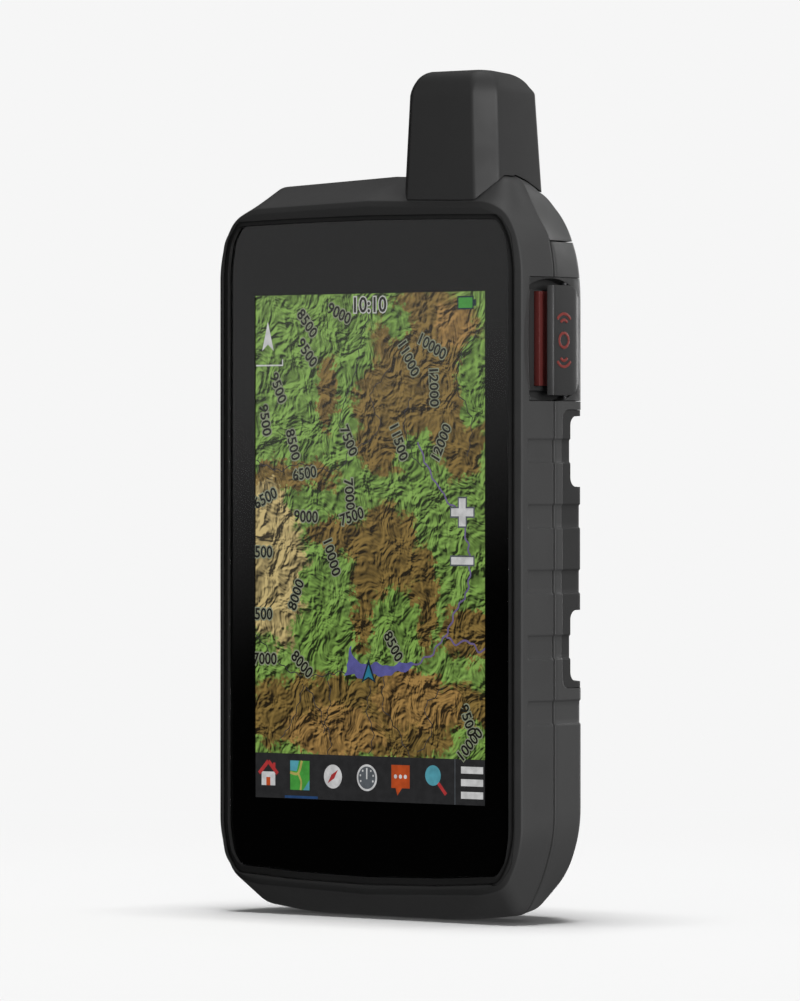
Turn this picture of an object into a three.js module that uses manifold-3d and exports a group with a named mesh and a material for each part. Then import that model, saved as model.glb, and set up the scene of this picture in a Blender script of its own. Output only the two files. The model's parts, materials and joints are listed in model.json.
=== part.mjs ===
// Handheld GPS unit for camping and expeditions.
// Millimetres. X to the right seen from the display, Y backwards from the display glass, Z up.
// The pieces are made with Y = 0 on the front of the glass and Z = 0 on the flat bottom. The whole
// group then moves by REST_Y, so that the origin lies in the middle of the flat bottom.
import * as THREE from "three";
import { mergeVertices } from "three/addons/utils/BufferGeometryUtils.js";
import Module from "manifold-3d";

const wasm = await Module();
wasm.setup();
const BOTH = [-1, 1]; // left and right

// Driving dimensions
const GAP = 0.3; // clearance between neighbouring pieces
const LIP_Y = 1.0; // front edge of the side wall, behind the bevelled lip
const LIP_BEVEL = 1.3;
const BOTTOM_FULL_Y = 8.0; // where the lower shoulder has come down to the flat bottom
const PART_Y = 10.6; // back face of the front housing
const DOOR_Y = PART_Y + GAP; // front edge of the battery door
const REAR_EDGE_Y = 20.2; // where the side turns into the wide rear chamfer
const BACK_Y = 32.7; // flat back
const REAR_CHAMFER = 15.5; // how far the flat back lies inside the outline of the rear edge
const WALL = 1.8; // housing wall
const DOOR_WALL = 1.6;
const DOOR_TOP_Z = 145.9;
const CAP_Z = DOOR_TOP_Z + GAP; // lower edge of the visible rear housing
const REST_Y = (DOOR_Y + REAR_EDGE_Y) / 2;

// Right half of each outline, from the bottom centre to the top centre, as [x, z]
const LIP_OUTLINE = [
  [0, 5.1], [33, 6.2], [38.8, 7.8], [41.8, 13.2], [43.2, 18.5],
  [43.2, 141.5], [41.8, 147.4], [38.9, 152.2], [33.6, 154.4], [0, 155.4],
];
const PART_OUTLINE = [
  [0, 0], [22, 0], [36.6, 1.7], [41.2, 9.3], [44.4, 19],
  [44.4, 140.5], [43.2, 146.8], [38.6, 153.3], [32.2, 159.7], [0, 160.9],
];
const REAR_OUTLINE = [
  [0, 0], [20, 0], [31.8, 2.2], [40.6, 10.4], [44, 20],
  [44, 136], [43.1, 142.8], [40, 150.3], [33, 157.5], [0, 158.6],
];
const GLASS_OUTLINE = [
  [0, 8.9], [20, 9.3], [36.8, 10.3], [39.1, 13.2], [40.2, 18.5],
  [40.2, 141.5], [39.2, 147.2], [36.9, 150.6], [20, 151], [0, 151.2],
];
const CORNER_R = [0, 12, 5, 9, 9, 9, 6, 9, 8, 0];
const GLASS_R = [0, 0, 2.4, 3, 5, 5, 3, 2.4, 0, 0];

// Display and glass
const GLASS_T = 1.7;
const GASKET_IN = 0.3;
const GASKET_OUT = 1.4;
const GASKET_Y = 0.7;
const POCKET_OUT = 1.7; // how far the lip's inner edge lies outside the glass
const LEDGE_Y = 2.0;
const LEDGE_T = 1.8;
const LCD = { x: 35.4, z0: 21.6, z1: 139.0, y0: 2.3, y1: 4.4 };
const LCD_CLEAR = 0.5;
const TRAY = { x: 38.5, z0: 18, z1: 143, t: 0.8, window_x: 30, window_z0: 30, window_z1: 131 };

// Grip grooves and cradle notches
const GROOVE_COUNT = 5;
const GROOVE_Y = 2.9; // front ends of the grooves
const GROOVE_Z = 45.2;
const GROOVE_PITCH = 13.98;
const GROOVE_H = 5.2;
const GROOVE_DEPTH = 0.35;
const GROOVE_END = 22.2; // behind the rear edge, where the grooves run out
const GROOVE_X = 39.5; // the grooves are cut in the skin outside this
const NOTCHES = [[51.8, 67.0], [93.5, 108.6]];
const NOTCH_X = 34.0;
const NOTCH_Y = 16.5;
const PAD = { y: 13.5, z0: 50.3, z1: 110.0, t: 1.0 };

// Emergency button on the right side: a seat flush with the case, a hinged cap and a key
const SOS = {
  z0: 111.9, z1: 138.2, y0: 3.4, x0: 40.0, deep_x: 39.2, deep_y: 11.6, floor: 42.9, recess_y: 3.9,
};
const SOS_CAP = { z0: 113.0, z1: 136.5, x0: 45.3, x1: 46.6, y0: 7.0, bevel: 1.9 };
const SOS_HINGE = { x: 43.6, y: 15.0, r: 3.0, pin: 0.5 };
const SOS_LINER = { z0: 114.9, z1: 135.2, x0: 43.2, x1: 45.0, y0: 4.9, y1: 11.4 };
const SOS_KEY = { y: 7.6, z: 124.75, w: 2.8, h: 7.0, x0: 40.4, x1: 42.6 };
const SOS_BOW = { y: 9.4, half: 5.5, rise: 1.1 }; // finger recesses above and below the cap

// Power key on the left side
const POWER = { y: 6.2, z: 125, w: 1.6, h: 7.0, x0: -44.5, x1: -40.6 };

// Antenna boss on the right half of the top
const BOSS = {
  x0: 7.1, x1: 33.9, y0: 1.0, y1: 20.2, facet: 3.9, back: 1.0, face_z: 179.4, top_z: 183.3, low_z: 148,
};
const BOSS_TAPER = 1.3; // how much each side leans in from the base to the top
const BOSS_CHAMFER = 3.9;
const BOSS_TILT = 0.08; // how far the top falls away for each millimetre backwards
const BOSS_WALL = 2.4;
const BOSS_FOOT = { lap: 0.7, height: 1.5 }; // rebate for the seal round the foot
const BOSS_SEAL = { out: 1.0, in: 2.2, height: 1.2 };

// Battery, its bay and the door's fastener
const BATTERY = { x: 26.5, z0: 42, z1: 122, y0: 13.5, y1: 27.8 };
const BAY_WALL = 1.5;
const BAY_BACK_Y = 22;
const FLOOR = { y0: 11.5, y1: 13.1, d: 2.1 }; // rear housing's floor behind the electronics
const BACK_INSET = 2.6; // extra room for the wall in the rear chamfer
const POST = { r: 6, y1: 20.4 }; // post that takes the door's screw
const SCREW_X = 35.6;
const SCREW_ZS = [30, 84, 136];
const DRING = { z: 28.5, r: 9.6, y0: 29.6, y1: 32.3, recess: 10.4, shank: 2.2, shank_y: 17.5 };
const BAIL = { r: 7.4, t: 1.5, y0: 30.6, room: 0.35, nail: 3 }; // nail: half width of the finger notch
const SPEAKER = { x: -14, z: 134.5, r: 7.2, y0: 9.4, y1: 14.4, rim: 1.2 };
const SLOT = { half: 6, z: 129.1, pitch: 2.9, h: 1.3, count: 4 }; // sound slots in the door
const INSERT = { r0: 2.6, r1: 4.0, y0: 17.2, y1: 20.2 };
const RIB = { x: 30.8, t: 1.6, y: 15.0, z0: 37.7, z1: 126.3 }; // rib inside the door that carries its seal

// Layers inside the case
const STEP_Y = 8.0; // front of the thick rim that the two housings meet at
const STEP_D = 7.2;
const SEAL_D = 5.6;
const SEAL_W = 0.8;
const SEAL_BITE = 0.4; // how far the case seal reaches into the front housing
const CHASSIS_Y = 5.9;
const CHASSIS = {
  d: 2.8, t: 1.2, top_z: 147, window_x: 24, window_z: 34, window_h: 24, pitch: 34, key_x: 36, key_h: 8,
};
const BOARD = {
  x: 32.4, z0: 24, z1: 142, y0: 7.6, y1: 8.8, hole: 7, corner_x: 20, corner_z: 134, foot_x: 29, foot_z: 30,
};
const CAN = { y0: 9.1, y1: 11.2, wall: 0.4 };
const RF_CAN = [-28, -4, 96, 126];
const CPU_CAN = [2, 30, 90, 126];
const CARD = { z: 51.5, w: 5.5, length: 15, y0: 9.8, y1: 10.5 };
const SOCKET = { w: 7.6, length: 16, wall: 0.4, slot: 6.2 };
const CONTACTS = { x: 8, z0: 44, z1: 49 };
const GNSS = [-24, -10, 5.6, 18, 148.4, 152.2];
const QUAD = [13.5, 26.5, 5.5, 15, 163.5, 175.2]; // satellite antenna's element inside the boss
const FEED = { x: 20, y: 7, pin: 0.6, hole: 1.6, z0: 150 }; // its feed
const SWITCH = { y0: 5.8, y1: 7.7, z0: 121.5, z1: 128, sos_x: 36.8, power_x: -36.9, w: 2.7 };
const SCREW = {
  shank: 0.9, hole: 1.25, head: 2.0, head_t: 1.3, head_y: 12.6, tip_y: 8.4, drive: 0.9, room: 0.4,
};
const SCREW_POST_R = 2.6;

// Ports in the sloping top of the back, under rubber caps
const PORT_V = 8.0; // height of their middle up the slope
const PORT_H = 9.0;
const PORT_WALL = { x: 1.3, h: 11, n0: -4.6, n1: -0.5 }; // block behind each port's pocket
const PORT_POCKET = -2.0;
const PORT_N0 = -5.7; // how deep the sockets reach below the slope
const PORT_N1 = -2.3;
const CAP_T = 1.6;
const CAP_N = -0.1; // outer face of the rubber caps
const USB = { x: -16, w: 16, shell_w: 9.0, shell_h: 3.4, wall: 0.6 };
const JACK = { x: 4, w: 9, r: 2.2, bore: 1.2 };
const PORTS = [USB, JACK];
const FAR = 80; // beyond every face of the case

const materials = {
  shell: { color: 0x2b2c2d, roughness: 0.62, metalness: 0 },
  rubber: { color: 0x1b1c1d, roughness: 0.85, metalness: 0 },
  glass: { color: 0x050506, roughness: 0.06, metalness: 0 },
  display: { color: 0x3c5a2c, roughness: 0.3, metalness: 0 },
  steel: { color: 0x9a9da0, roughness: 0.35, metalness: 1 },
  aluminium: { color: 0x8d9094, roughness: 0.45, metalness: 1 },
  board: { color: 0x14432c, roughness: 0.55, metalness: 0 },
  ceramic: { color: 0xb9a98c, roughness: 0.6, metalness: 0 },
  brass: { color: 0xb08d4a, roughness: 0.35, metalness: 1 },
  battery: { color: 0x26292e, roughness: 0.5, metalness: 0 },
  red: { color: 0x9c2018, roughness: 0.6, metalness: 0 },
  plastic: { color: 0x17181a, roughness: 0.5, metalness: 0 },
};

const unit = new THREE.Group();

// Adds one named piece made from a solid.
function piece(name, solid, finish) {
  const mesh = new THREE.Mesh(geometryOf(solid), new THREE.MeshStandardMaterial(materials[finish]));
  mesh.name = name;
  unit.add(mesh);
}

// ---------------------------------------------------------------- solids

// A manifold-3d solid from a closed geometry, with its faces turned outwards.
function solidOf(geometry) {
  const bare = new THREE.BufferGeometry();
  bare.setAttribute("position", geometry.getAttribute("position"));
  if (geometry.index) bare.setIndex(geometry.index);
  const merged = mergeVertices(bare, 1e-4);
  const triVerts = new Uint32Array(merged.index.array);
  const vertProperties = new Float32Array(merged.attributes.position.array);
  const made = new wasm.Manifold(new wasm.Mesh({ numProp: 3, vertProperties, triVerts }));
  if (made.volume() > 0) return made;
  for (let i = 0; i < triVerts.length; i += 3) {
    [triVerts[i + 1], triVerts[i + 2]] = [triVerts[i + 2], triVerts[i + 1]];
  }
  return new wasm.Manifold(new wasm.Mesh({ numProp: 3, vertProperties, triVerts }));
}

function geometryOf(solid) {
  const mesh = solid.getMesh();
  const geometry = new THREE.BufferGeometry();
  geometry.setAttribute("position", new THREE.BufferAttribute(new Float32Array(mesh.vertProperties), 3));
  geometry.setIndex(new THREE.BufferAttribute(new Uint32Array(mesh.triVerts), 1));
  geometry.computeVertexNormals();
  return geometry;
}

function box(x0, x1, y0, y1, z0, z1) {
  const geometry = new THREE.BoxGeometry(x1 - x0, y1 - y0, z1 - z0);
  geometry.translate((x0 + x1) / 2, (y0 + y1) / 2, (z0 + z1) / 2);
  return solidOf(geometry);
}

// All there is between two heights.
function slab(z0, z1) {
  return box(-FAR, FAR, -FAR, FAR, z0, z1);
}

// A block on one side, from x0 outwards.
function sideBox(side, x0, y0, y1, z0, z1) {
  return side > 0 ? box(x0, FAR, y0, y1, z0, z1) : box(-FAR, -x0, y0, y1, z0, z1);
}

// A rod from y0 to y1 about the line (x, z).
function rodY(x, z, r, y0, y1, sides = 24) {
  const geometry = new THREE.CylinderGeometry(r, r, y1 - y0, sides);
  geometry.translate(x, (y0 + y1) / 2, z);
  return solidOf(geometry);
}

// A rod from z0 to z1 about the line (x, y).
function rodZ(x, y, r, z0, z1, sides = 24) {
  const geometry = new THREE.CylinderGeometry(r, r, z1 - z0, sides);
  geometry.rotateX(Math.PI / 2);
  geometry.translate(x, y, (z0 + z1) / 2);
  return solidOf(geometry);
}

// A bar along X, from x0 to x1, whose section has round ends: half width w in Y, half height h in Z.
function barX(x0, x1, y, z, w, h) {
  const shape = new THREE.Shape();
  shape.absarc(0, h - w, w, 0, Math.PI);
  shape.absarc(0, w - h, w, Math.PI, 2 * Math.PI);
  const settings = { depth: x1 - x0, bevelEnabled: false, curveSegments: 8 };
  const geometry = new THREE.ExtrudeGeometry(shape, settings);
  geometry.rotateX(Math.PI / 2);
  geometry.rotateZ(Math.PI / 2);
  geometry.translate(x0, y, z);
  return solidOf(geometry);
}

// A straight prism from z0 to z1 of an outline given as [x, y] points.
function prismZ(points, z0, z1) {
  const shape = new THREE.Shape(points.map(([x, y]) => new THREE.Vector2(x, y)));
  const geometry = new THREE.ExtrudeGeometry(shape, { depth: z1 - z0, bevelEnabled: false });
  geometry.translate(0, 0, z0);
  return solidOf(geometry);
}

// A solid through flat sections with equal numbers of points, each point as [x, y, z].
function loft(sections) {
  const count = sections[0].length;
  const last = (sections.length - 1) * count;
  const index = [];
  for (let s = 0; s + 1 < sections.length; s++) {
    for (let i = 0; i < count; i++) {
      const a = s * count + i;
      const b = s * count + ((i + 1) % count);
      index.push(a, b, a + count, b, b + count, a + count);
    }
  }
  for (const [a, b, c] of lidTriangles(sections[0])) index.push(c, b, a);
  const end = lidTriangles(sections[sections.length - 1]);
  for (const [a, b, c] of end) index.push(last + a, last + b, last + c);
  const geometry = new THREE.BufferGeometry();
  geometry.setAttribute("position", new THREE.Float32BufferAttribute(sections.flat(2), 3));
  geometry.setIndex(index);
  return solidOf(geometry);
}

// Triangles over a flat section, turned the same way round as its points.
function lidTriangles(section) {
  const level = section.every((p) => Math.abs(p[1] - section[0][1]) < 1e-9);
  const flat = section.map((p) => new THREE.Vector2(p[0], level ? p[2] : p[1]));
  const way = Math.sign(THREE.ShapeUtils.area(flat));
  return THREE.ShapeUtils.triangulateShape(flat, []).map(([a, b, c]) => {
    const same = Math.sign(THREE.ShapeUtils.area([flat[a], flat[b], flat[c]])) === way;
    return same ? [a, b, c] : [a, c, b];
  });
}

function union(solids) {
  return solids.reduce((all, next) => all.add(next));
}

// Cuts each of the solids from the first one.
function cut(solid, ...tools) {
  return tools.reduce((left, tool) => left.subtract(tool), solid);
}

// Leans a solid made about the origin so that its +Y points along the rear slope's normal at
// a height of v up the slope from the gap line, and at x.
const SLOPE = Math.atan2(BACK_Y - REAR_EDGE_Y, REAR_CHAMFER);
function onSlope(geometry, x, v) {
  const y = BACK_Y - ((CAP_Z - slopeFootZ()) + v * Math.cos(SLOPE)) * Math.tan(SLOPE);
  geometry.rotateX(SLOPE);
  geometry.translate(x, y, CAP_Z + v * Math.cos(SLOPE));
  return solidOf(geometry);
}

function slopeFootZ() {
  return REAR_OUTLINE[REAR_OUTLINE.length - 1][1] - REAR_CHAMFER;
}

function slopeBox(x, v, width, height, n0, n1) {
  const geometry = new THREE.BoxGeometry(width, n1 - n0, height);
  geometry.translate(0, (n0 + n1) / 2, 0);
  return onSlope(geometry, x, v);
}

function slopeRod(x, v, r, n0, n1, sides = 24) {
  const geometry = new THREE.CylinderGeometry(r, r, n1 - n0, sides);
  geometry.translate(0, (n0 + n1) / 2, 0);
  return onSlope(geometry, x, v);
}

// ---------------------------------------------------------------- outlines

// Moves a half outline inwards by d, keeping its sides parallel.
function inset(half, d) {
  return half.map((point, i) => {
    const before = half[i - 1] || [-half[1][0], half[1][1]];
    const after = half[i + 1] || [-before[0], before[1]];
    const n1 = inward(before, point);
    const n2 = inward(point, after);
    const scale = d / (1 + n1[0] * n2[0] + n1[1] * n2[1]);
    return [point[0] + (n1[0] + n2[0]) * scale, point[1] + (n1[1] + n2[1]) * scale];
  });
}

function inward(a, b) {
  const length = Math.hypot(b[0] - a[0], b[1] - a[1]);
  return [-(b[1] - a[1]) / length, (b[0] - a[0]) / length];
}

function blend(a, b, t) {
  return a.map((p, i) => [p[0] + (b[i][0] - p[0]) * t, p[1] + (b[i][1] - p[1]) * t]);
}

// Rounds the corners of a half outline, then mirrors it to the whole one.
function whole(half, radii, steps = 3) {
  const right = [];
  half.forEach((p, i) => {
    if (!radii[i]) {
      right.push(p);
      return;
    }
    const a = half[i - 1];
    const b = half[i + 1];
    const la = Math.hypot(a[0] - p[0], a[1] - p[1]);
    const lb = Math.hypot(b[0] - p[0], b[1] - p[1]);
    const reach = Math.min(radii[i] * 0.5, la * 0.45, lb * 0.45);
    const from = [p[0] + ((a[0] - p[0]) / la) * reach, p[1] + ((a[1] - p[1]) / la) * reach];
    const to = [p[0] + ((b[0] - p[0]) / lb) * reach, p[1] + ((b[1] - p[1]) / lb) * reach];
    for (let s = 0; s <= steps; s++) {
      const t = s / steps;
      const k = [(1 - t) * (1 - t), 2 * t * (1 - t), t * t];
      right.push([
        k[0] * from[0] + k[1] * p[0] + k[2] * to[0],
        k[0] * from[1] + k[1] * p[1] + k[2] * to[1],
      ]);
    }
  });
  const left = right.slice(1, -1).reverse().map(([x, z]) => [-x, z]);
  return right.concat(left);
}

const atY = (outline, y) => outline.map(([x, z]) => [x, y, z]);

// The case's half outline at a depth, moved inwards by d.
function caseHalf(y, d = 0) {
  if (y < LIP_Y) return inset(LIP_OUTLINE, LIP_BEVEL * (1 - y / LIP_Y) + d);
  if (y <= PART_Y) {
    const side = blend(LIP_OUTLINE, PART_OUTLINE, (y - LIP_Y) / (PART_Y - LIP_Y));
    const low = blend(LIP_OUTLINE, PART_OUTLINE, Math.min(1, (y - LIP_Y) / (BOTTOM_FULL_Y - LIP_Y)));
    return inset(side.map((p, i) => (i < 3 ? low[i] : p)), d);
  }
  const back = blend(PART_OUTLINE, REAR_OUTLINE, Math.min(1, (y - PART_Y) / (REAR_EDGE_Y - PART_Y)));
  const lean = Math.max(0, (y - REAR_EDGE_Y) / (BACK_Y - REAR_EDGE_Y));
  return inset(back, REAR_CHAMFER * lean + d);
}

// The case's form through the given depths, moved inwards by d, or by one value for each depth.
function caseForm(ys, d = 0) {
  return loft(ys.map((y, i) => atY(whole(caseHalf(y, Array.isArray(d) ? d[i] : d), CORNER_R), y)));
}

// A straight plate or ring in the form of the case's outline at one depth.
function casePlate(y, d, y0, y1) {
  const outline = whole(caseHalf(y, d), CORNER_R);
  return loft([atY(outline, y0), atY(outline, y1)]);
}

function glassPlate(d, y0, y1) {
  const outline = whole(inset(GLASS_OUTLINE, d), GLASS_R);
  return loft([atY(outline, y0), atY(outline, y1)]);
}

const FRONT_YS = [0, LIP_Y, BOTTOM_FULL_Y, PART_Y];
const REAR_YS = [DOOR_Y, REAR_EDGE_Y, BACK_Y];

// The case's outer skin, down to a depth of t, behind or in front of the parting plane.
function frontSkin(t) {
  const outside = caseForm([-1, LIP_Y, BOTTOM_FULL_Y, PART_Y], -1);
  return outside.subtract(caseForm([-2, LIP_Y, BOTTOM_FULL_Y, PART_Y + 1], t));
}

function rearSkin(t, out = -1) {
  return cut(caseForm(REAR_YS, out), caseForm([PART_Y, REAR_EDGE_Y, BACK_Y], t));
}

// The blocks whose skin becomes the grip grooves, from y0 to y1 on both sides.
function grooveBlocks(y0, y1) {
  const blocks = [];
  for (let i = 0; i < GROOVE_COUNT; i++) {
    const z = GROOVE_Z + i * GROOVE_PITCH;
    for (const side of BOTH) blocks.push(sideBox(side, GROOVE_X, y0, y1, z - GROOVE_H / 2, z + GROOVE_H / 2));
  }
  return union(blocks);
}

// The cradle notches on both sides, made larger all round by grow.
function notchBlocks(grow) {
  const blocks = NOTCHES.flatMap(([z0, z1]) => BOTH.map(
    (side) => sideBox(side, NOTCH_X - grow, NOTCH_Y - grow, FAR, z0 - grow, z1 + grow),
  ));
  return union(blocks);
}

const SCREWS = SCREW_ZS.flatMap((z) => BOTH.map((side) => [side * SCREW_X, z]));

// ---------------------------------------------------------------- front housing and display

function frontHousing() {
  const shell = cut(
    caseForm(FRONT_YS),
    glassPlate(-POCKET_OUT, -1, LEDGE_Y),
    caseForm([LEDGE_Y + LEDGE_T, BOTTOM_FULL_Y, STEP_Y + GAP], WALL),
    casePlate(PART_Y, STEP_D, STEP_Y, PART_Y + 1),
    box(-LCD.x - LCD_CLEAR, LCD.x + LCD_CLEAR, LIP_Y, PART_Y, LCD.z0 - LCD_CLEAR, LCD.z1 + LCD_CLEAR),
  );
  const bosses = SCREWS.map(([x, z]) => rodY(x, z, SCREW_POST_R, SCREW.tip_y - 1, PART_Y, 20));
  const holes = SCREWS.map(([x, z]) => rodY(x, z, SCREW.hole, STEP_Y, PART_Y + 1, 12));
  return cut(
    union([shell, ...bosses]),
    union(holes),
    sealRing(SEAL_D - GAP, SEAL_D + SEAL_W + GAP, PART_Y - SEAL_BITE - GAP, PART_Y + 1),
    sosBlock(GAP),
    barX(-FAR, -40, POWER.y, POWER.z, POWER.w + GAP, POWER.h + GAP),
    rodZ(FEED.x, FEED.y, FEED.hole, FEED.z0, QUAD[4], 16),
    frontSkin(GROOVE_DEPTH).intersect(grooveBlocks(GROOVE_Y, PART_Y + 1)),
  );
}

function sealRing(d0, d1, y0, y1) {
  return casePlate(PART_Y, d0, y0, y1).subtract(casePlate(PART_Y, d1, y0 - 1, y1 + 1));
}

function lensGasket() {
  return glassPlate(-GASKET_OUT, GASKET_Y, GLASS_T).subtract(glassPlate(-GASKET_IN, 0, GLASS_T + 1));
}

function lcdTray() {
  const y0 = LCD.y1 + GAP;
  const frame = box(-TRAY.x, TRAY.x, y0, y0 + TRAY.t, TRAY.z0, TRAY.z1);
  return frame.subtract(box(-TRAY.window_x, TRAY.window_x, 0, PART_Y, TRAY.window_z0, TRAY.window_z1));
}

function chassisPlate() {
  const windows = [0, 1, 2].map((i) => {
    const z = CHASSIS.window_z + i * CHASSIS.pitch;
    return box(-CHASSIS.window_x, CHASSIS.window_x, 0, PART_Y, z, z + CHASSIS.window_h);
  });
  return cut(
    casePlate(CHASSIS_Y, CHASSIS.d, CHASSIS_Y, CHASSIS_Y + CHASSIS.t),
    slab(CHASSIS.top_z, CHASSIS.top_z + FAR),
    ...windows,
    sideBox(1, CHASSIS.key_x, 0, PART_Y, SOS.z0 - 2 * GAP, SOS.z1 + 2 * GAP),
    sideBox(-1, CHASSIS.key_x, 0, PART_Y, POWER.z - CHASSIS.key_h, POWER.z + CHASSIS.key_h),
  );
}

// ---------------------------------------------------------------- electronics

function mainBoard() {
  return cut(
    box(-BOARD.x, BOARD.x, BOARD.y0, BOARD.y1, BOARD.z0, BOARD.z1),
    rodY(0, DRING.z, BOARD.hole, 0, PART_Y),
    sideBox(1, BOARD.corner_x, 0, PART_Y, BOARD.corner_z, FAR * 2),
    sideBox(-1, BOARD.foot_x, 0, PART_Y, 0, BOARD.foot_z),
  );
}

// A folded metal lid that is open towards the board.
function shieldCan(x0, x1, z0, z1) {
  const { y0, y1, wall } = CAN;
  return box(x0, x1, y0, y1, z0, z1).subtract(box(x0 + wall, x1 - wall, 0, y1 - wall, z0 + wall, z1 - wall));
}

function cardSocket() {
  const { w, length, wall, slot } = SOCKET;
  const body = box(-w, w, CAN.y0, CAN.y1, CARD.z, CARD.z + length);
  return body.subtract(box(-slot, slot, CAN.y0 + wall, CAN.y1 - wall, CARD.z + 1, CARD.z + length + 1));
}

function speaker() {
  const { x, z, r, y0, y1, rim } = SPEAKER;
  return rodY(x, z, r, y0, y1, 32).subtract(rodY(x, z, r - rim, y1 - 1, y1 + 1, 32));
}

function screw(x, z) {
  const shank = rodY(x, z, SCREW.shank, SCREW.tip_y, SCREW.head_y + SCREW.head_t / 2, 12);
  const head = rodY(x, z, SCREW.head, SCREW.head_y, SCREW.head_y + SCREW.head_t, 20);
  const drive = rodY(x, z, SCREW.drive, SCREW.head_y + SCREW.head_t / 2, SCREW.head_y + 2, 6);
  return shank.add(head).subtract(drive);
}

// ---------------------------------------------------------------- antenna boss

// The boss's section at a height, moved inwards by d, as [x, y, z] points. The top falls away backwards.
function bossSection(z, d, tilt = 0) {
  const base = LIP_OUTLINE[LIP_OUTLINE.length - 1][1];
  const lean = (BOSS_TAPER * (z - base)) / (BOSS.face_z - base);
  const k = d + lean;
  const [x0, x1, y0, y1] = [BOSS.x0 + k, BOSS.x1 - k * 0.8, BOSS.y0 + d + lean * 0.3, BOSS.y1 - k];
  const f = BOSS.facet - d * 0.59;
  const b = BOSS.back;
  const corners = [
    [x0 + f, y0], [x1 - f, y0], [x1, y0 + f], [x1, y1 - b],
    [x1 - b, y1], [x0 + b, y1], [x0, y1 - b], [x0, y0 + f],
  ];
  return corners.map(([x, y]) => [x, y, z - tilt * (y - BOSS.y0)]);
}

function bossForm(d, z0 = BOSS.low_z) {
  const rise = BOSS.top_z - BOSS.face_z;
  const soft = Math.min(d, 1);
  return loft([
    bossSection(z0, d),
    bossSection(BOSS.face_z - d * 0.4, d, BOSS_TILT),
    bossSection(BOSS.face_z + rise * 0.62 - d * 0.8, d + BOSS_CHAMFER * (0.34 - 0.1 * soft), BOSS_TILT),
    bossSection(BOSS.top_z - d, d + BOSS_CHAMFER * (1 - 0.3 * soft), BOSS_TILT),
  ]);
}

const WHOLE_YS = [0, LIP_Y, BOTTOM_FULL_Y, PART_Y, REAR_EDGE_Y, BACK_Y];

function antennaCover() {
  return cut(
    bossForm(0),
    caseForm(WHOLE_YS, -GAP),
    bossForm(BOSS_WALL),
    bossForm(BOSS_FOOT.lap).intersect(caseForm(WHOLE_YS, -BOSS_FOOT.height)),
  );
}

function antennaSeal() {
  const ring = bossForm(BOSS_SEAL.out).subtract(bossForm(BOSS_SEAL.in, BOSS.low_z - 1));
  return ring.intersect(caseForm(WHOLE_YS, -BOSS_SEAL.height)).subtract(caseForm(WHOLE_YS, -GAP));
}

function satelliteAntenna() {
  return box(...QUAD).add(rodZ(FEED.x, FEED.y, FEED.pin, FEED.z0, QUAD[4] + 0.5, 12));
}

// ---------------------------------------------------------------- rear housing

function rearHousing() {
  const above = slab(CAP_Z, CAP_Z + FAR);
  const hollow = caseForm([PART_Y, REAR_EDGE_Y, BACK_Y - WALL], [WALL, WALL, BACK_INSET]);
  const cap = cut(caseForm(REAR_YS).intersect(above), hollow.intersect(slab(CAP_Z + WALL, CAP_Z + FAR)));
  const floor = caseForm([FLOOR.y0, FLOOR.y1], FLOOR.d);
  const bayX = BATTERY.x + GAP;
  const [bay0, bay1] = [BATTERY.z0 - GAP, BATTERY.z1 + GAP];
  const outX = bayX + BAY_WALL;
  const bay = box(-outX, outX, FLOOR.y0 + 1, BAY_BACK_Y, bay0 - BAY_WALL, bay1 + BAY_WALL);
  const blocks = PORTS.map((p) => {
    const { x, h, n0, n1 } = PORT_WALL;
    return slopeBox(p.x, PORT_V, p.w + 2 * x, h, n0, n1).intersect(above);
  });
  const pockets = PORTS.map((p) => slopeBox(p.x, PORT_V, p.w + 2 * GAP, PORT_H + 2 * GAP, PORT_POCKET, 4));
  const seat = SCREW.head_y - GAP;
  const heads = SCREWS.map(([x, z]) => rodY(x, z, SCREW.head + SCREW.room, seat, BAY_BACK_Y, 20));
  const shanks = SCREWS.map(([x, z]) => rodY(x, z, SCREW.hole, 0, BAY_BACK_Y, 12));
  return cut(
    union([cap, floor, bay, rodY(0, DRING.z, POST.r, FLOOR.y0 + 1, POST.y1, 28), ...blocks]),
    casePlate(PART_Y, SEAL_D - 1.2, PART_Y - 1, FLOOR.y0),
    box(-bayX, bayX, FLOOR.y1, BAY_BACK_Y + 1, bay0, bay1),
    rodY(0, DRING.z, INSERT.r1 + GAP, INSERT.y0 - GAP, BAY_BACK_Y, 28),
    rodY(0, DRING.z, DRING.shank + 0.5, FLOOR.y1, BAY_BACK_Y),
    ...pockets,
    slopeBox(USB.x, PORT_V, USB.shell_w + 2 * GAP, USB.shell_h + 2 * GAP, -8, 0),
    slopeRod(JACK.x, PORT_V, JACK.r + GAP, -8, 0),
    rodY(SPEAKER.x, SPEAKER.z, SPEAKER.r + GAP, PART_Y, FLOOR.y1 + 1),
    box(-CONTACTS.x - GAP, CONTACTS.x + GAP, PART_Y, FLOOR.y1 + 1, CONTACTS.z0 - GAP, CONTACTS.z1 + GAP),
    box(-SOCKET.w - GAP, SOCKET.w + GAP, PART_Y, FLOOR.y1 + 1, CARD.z - GAP, CARD.z + CARD.length + 5),
    box(-27, 27, PART_Y, FLOOR.y1 + 0.5, CAP_Z + WALL, GNSS[5] + 2 * GAP),
    sosBlock(GAP),
    union(heads),
    union(shanks),
  );
}

function usbPort() {
  const { x, shell_w, shell_h, wall } = USB;
  const inside = slopeBox(x, PORT_V, shell_w - 2 * wall, shell_h - 2 * wall, PORT_N0 + wall, 0);
  return slopeBox(x, PORT_V, shell_w, shell_h, PORT_N0, PORT_N1).subtract(inside);
}

function antennaJack() {
  const body = slopeRod(JACK.x, PORT_V, JACK.r, PORT_N0, PORT_N1);
  return body.subtract(slopeRod(JACK.x, PORT_V, JACK.bore, PORT_N0 + USB.wall, 0, 16));
}

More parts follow.
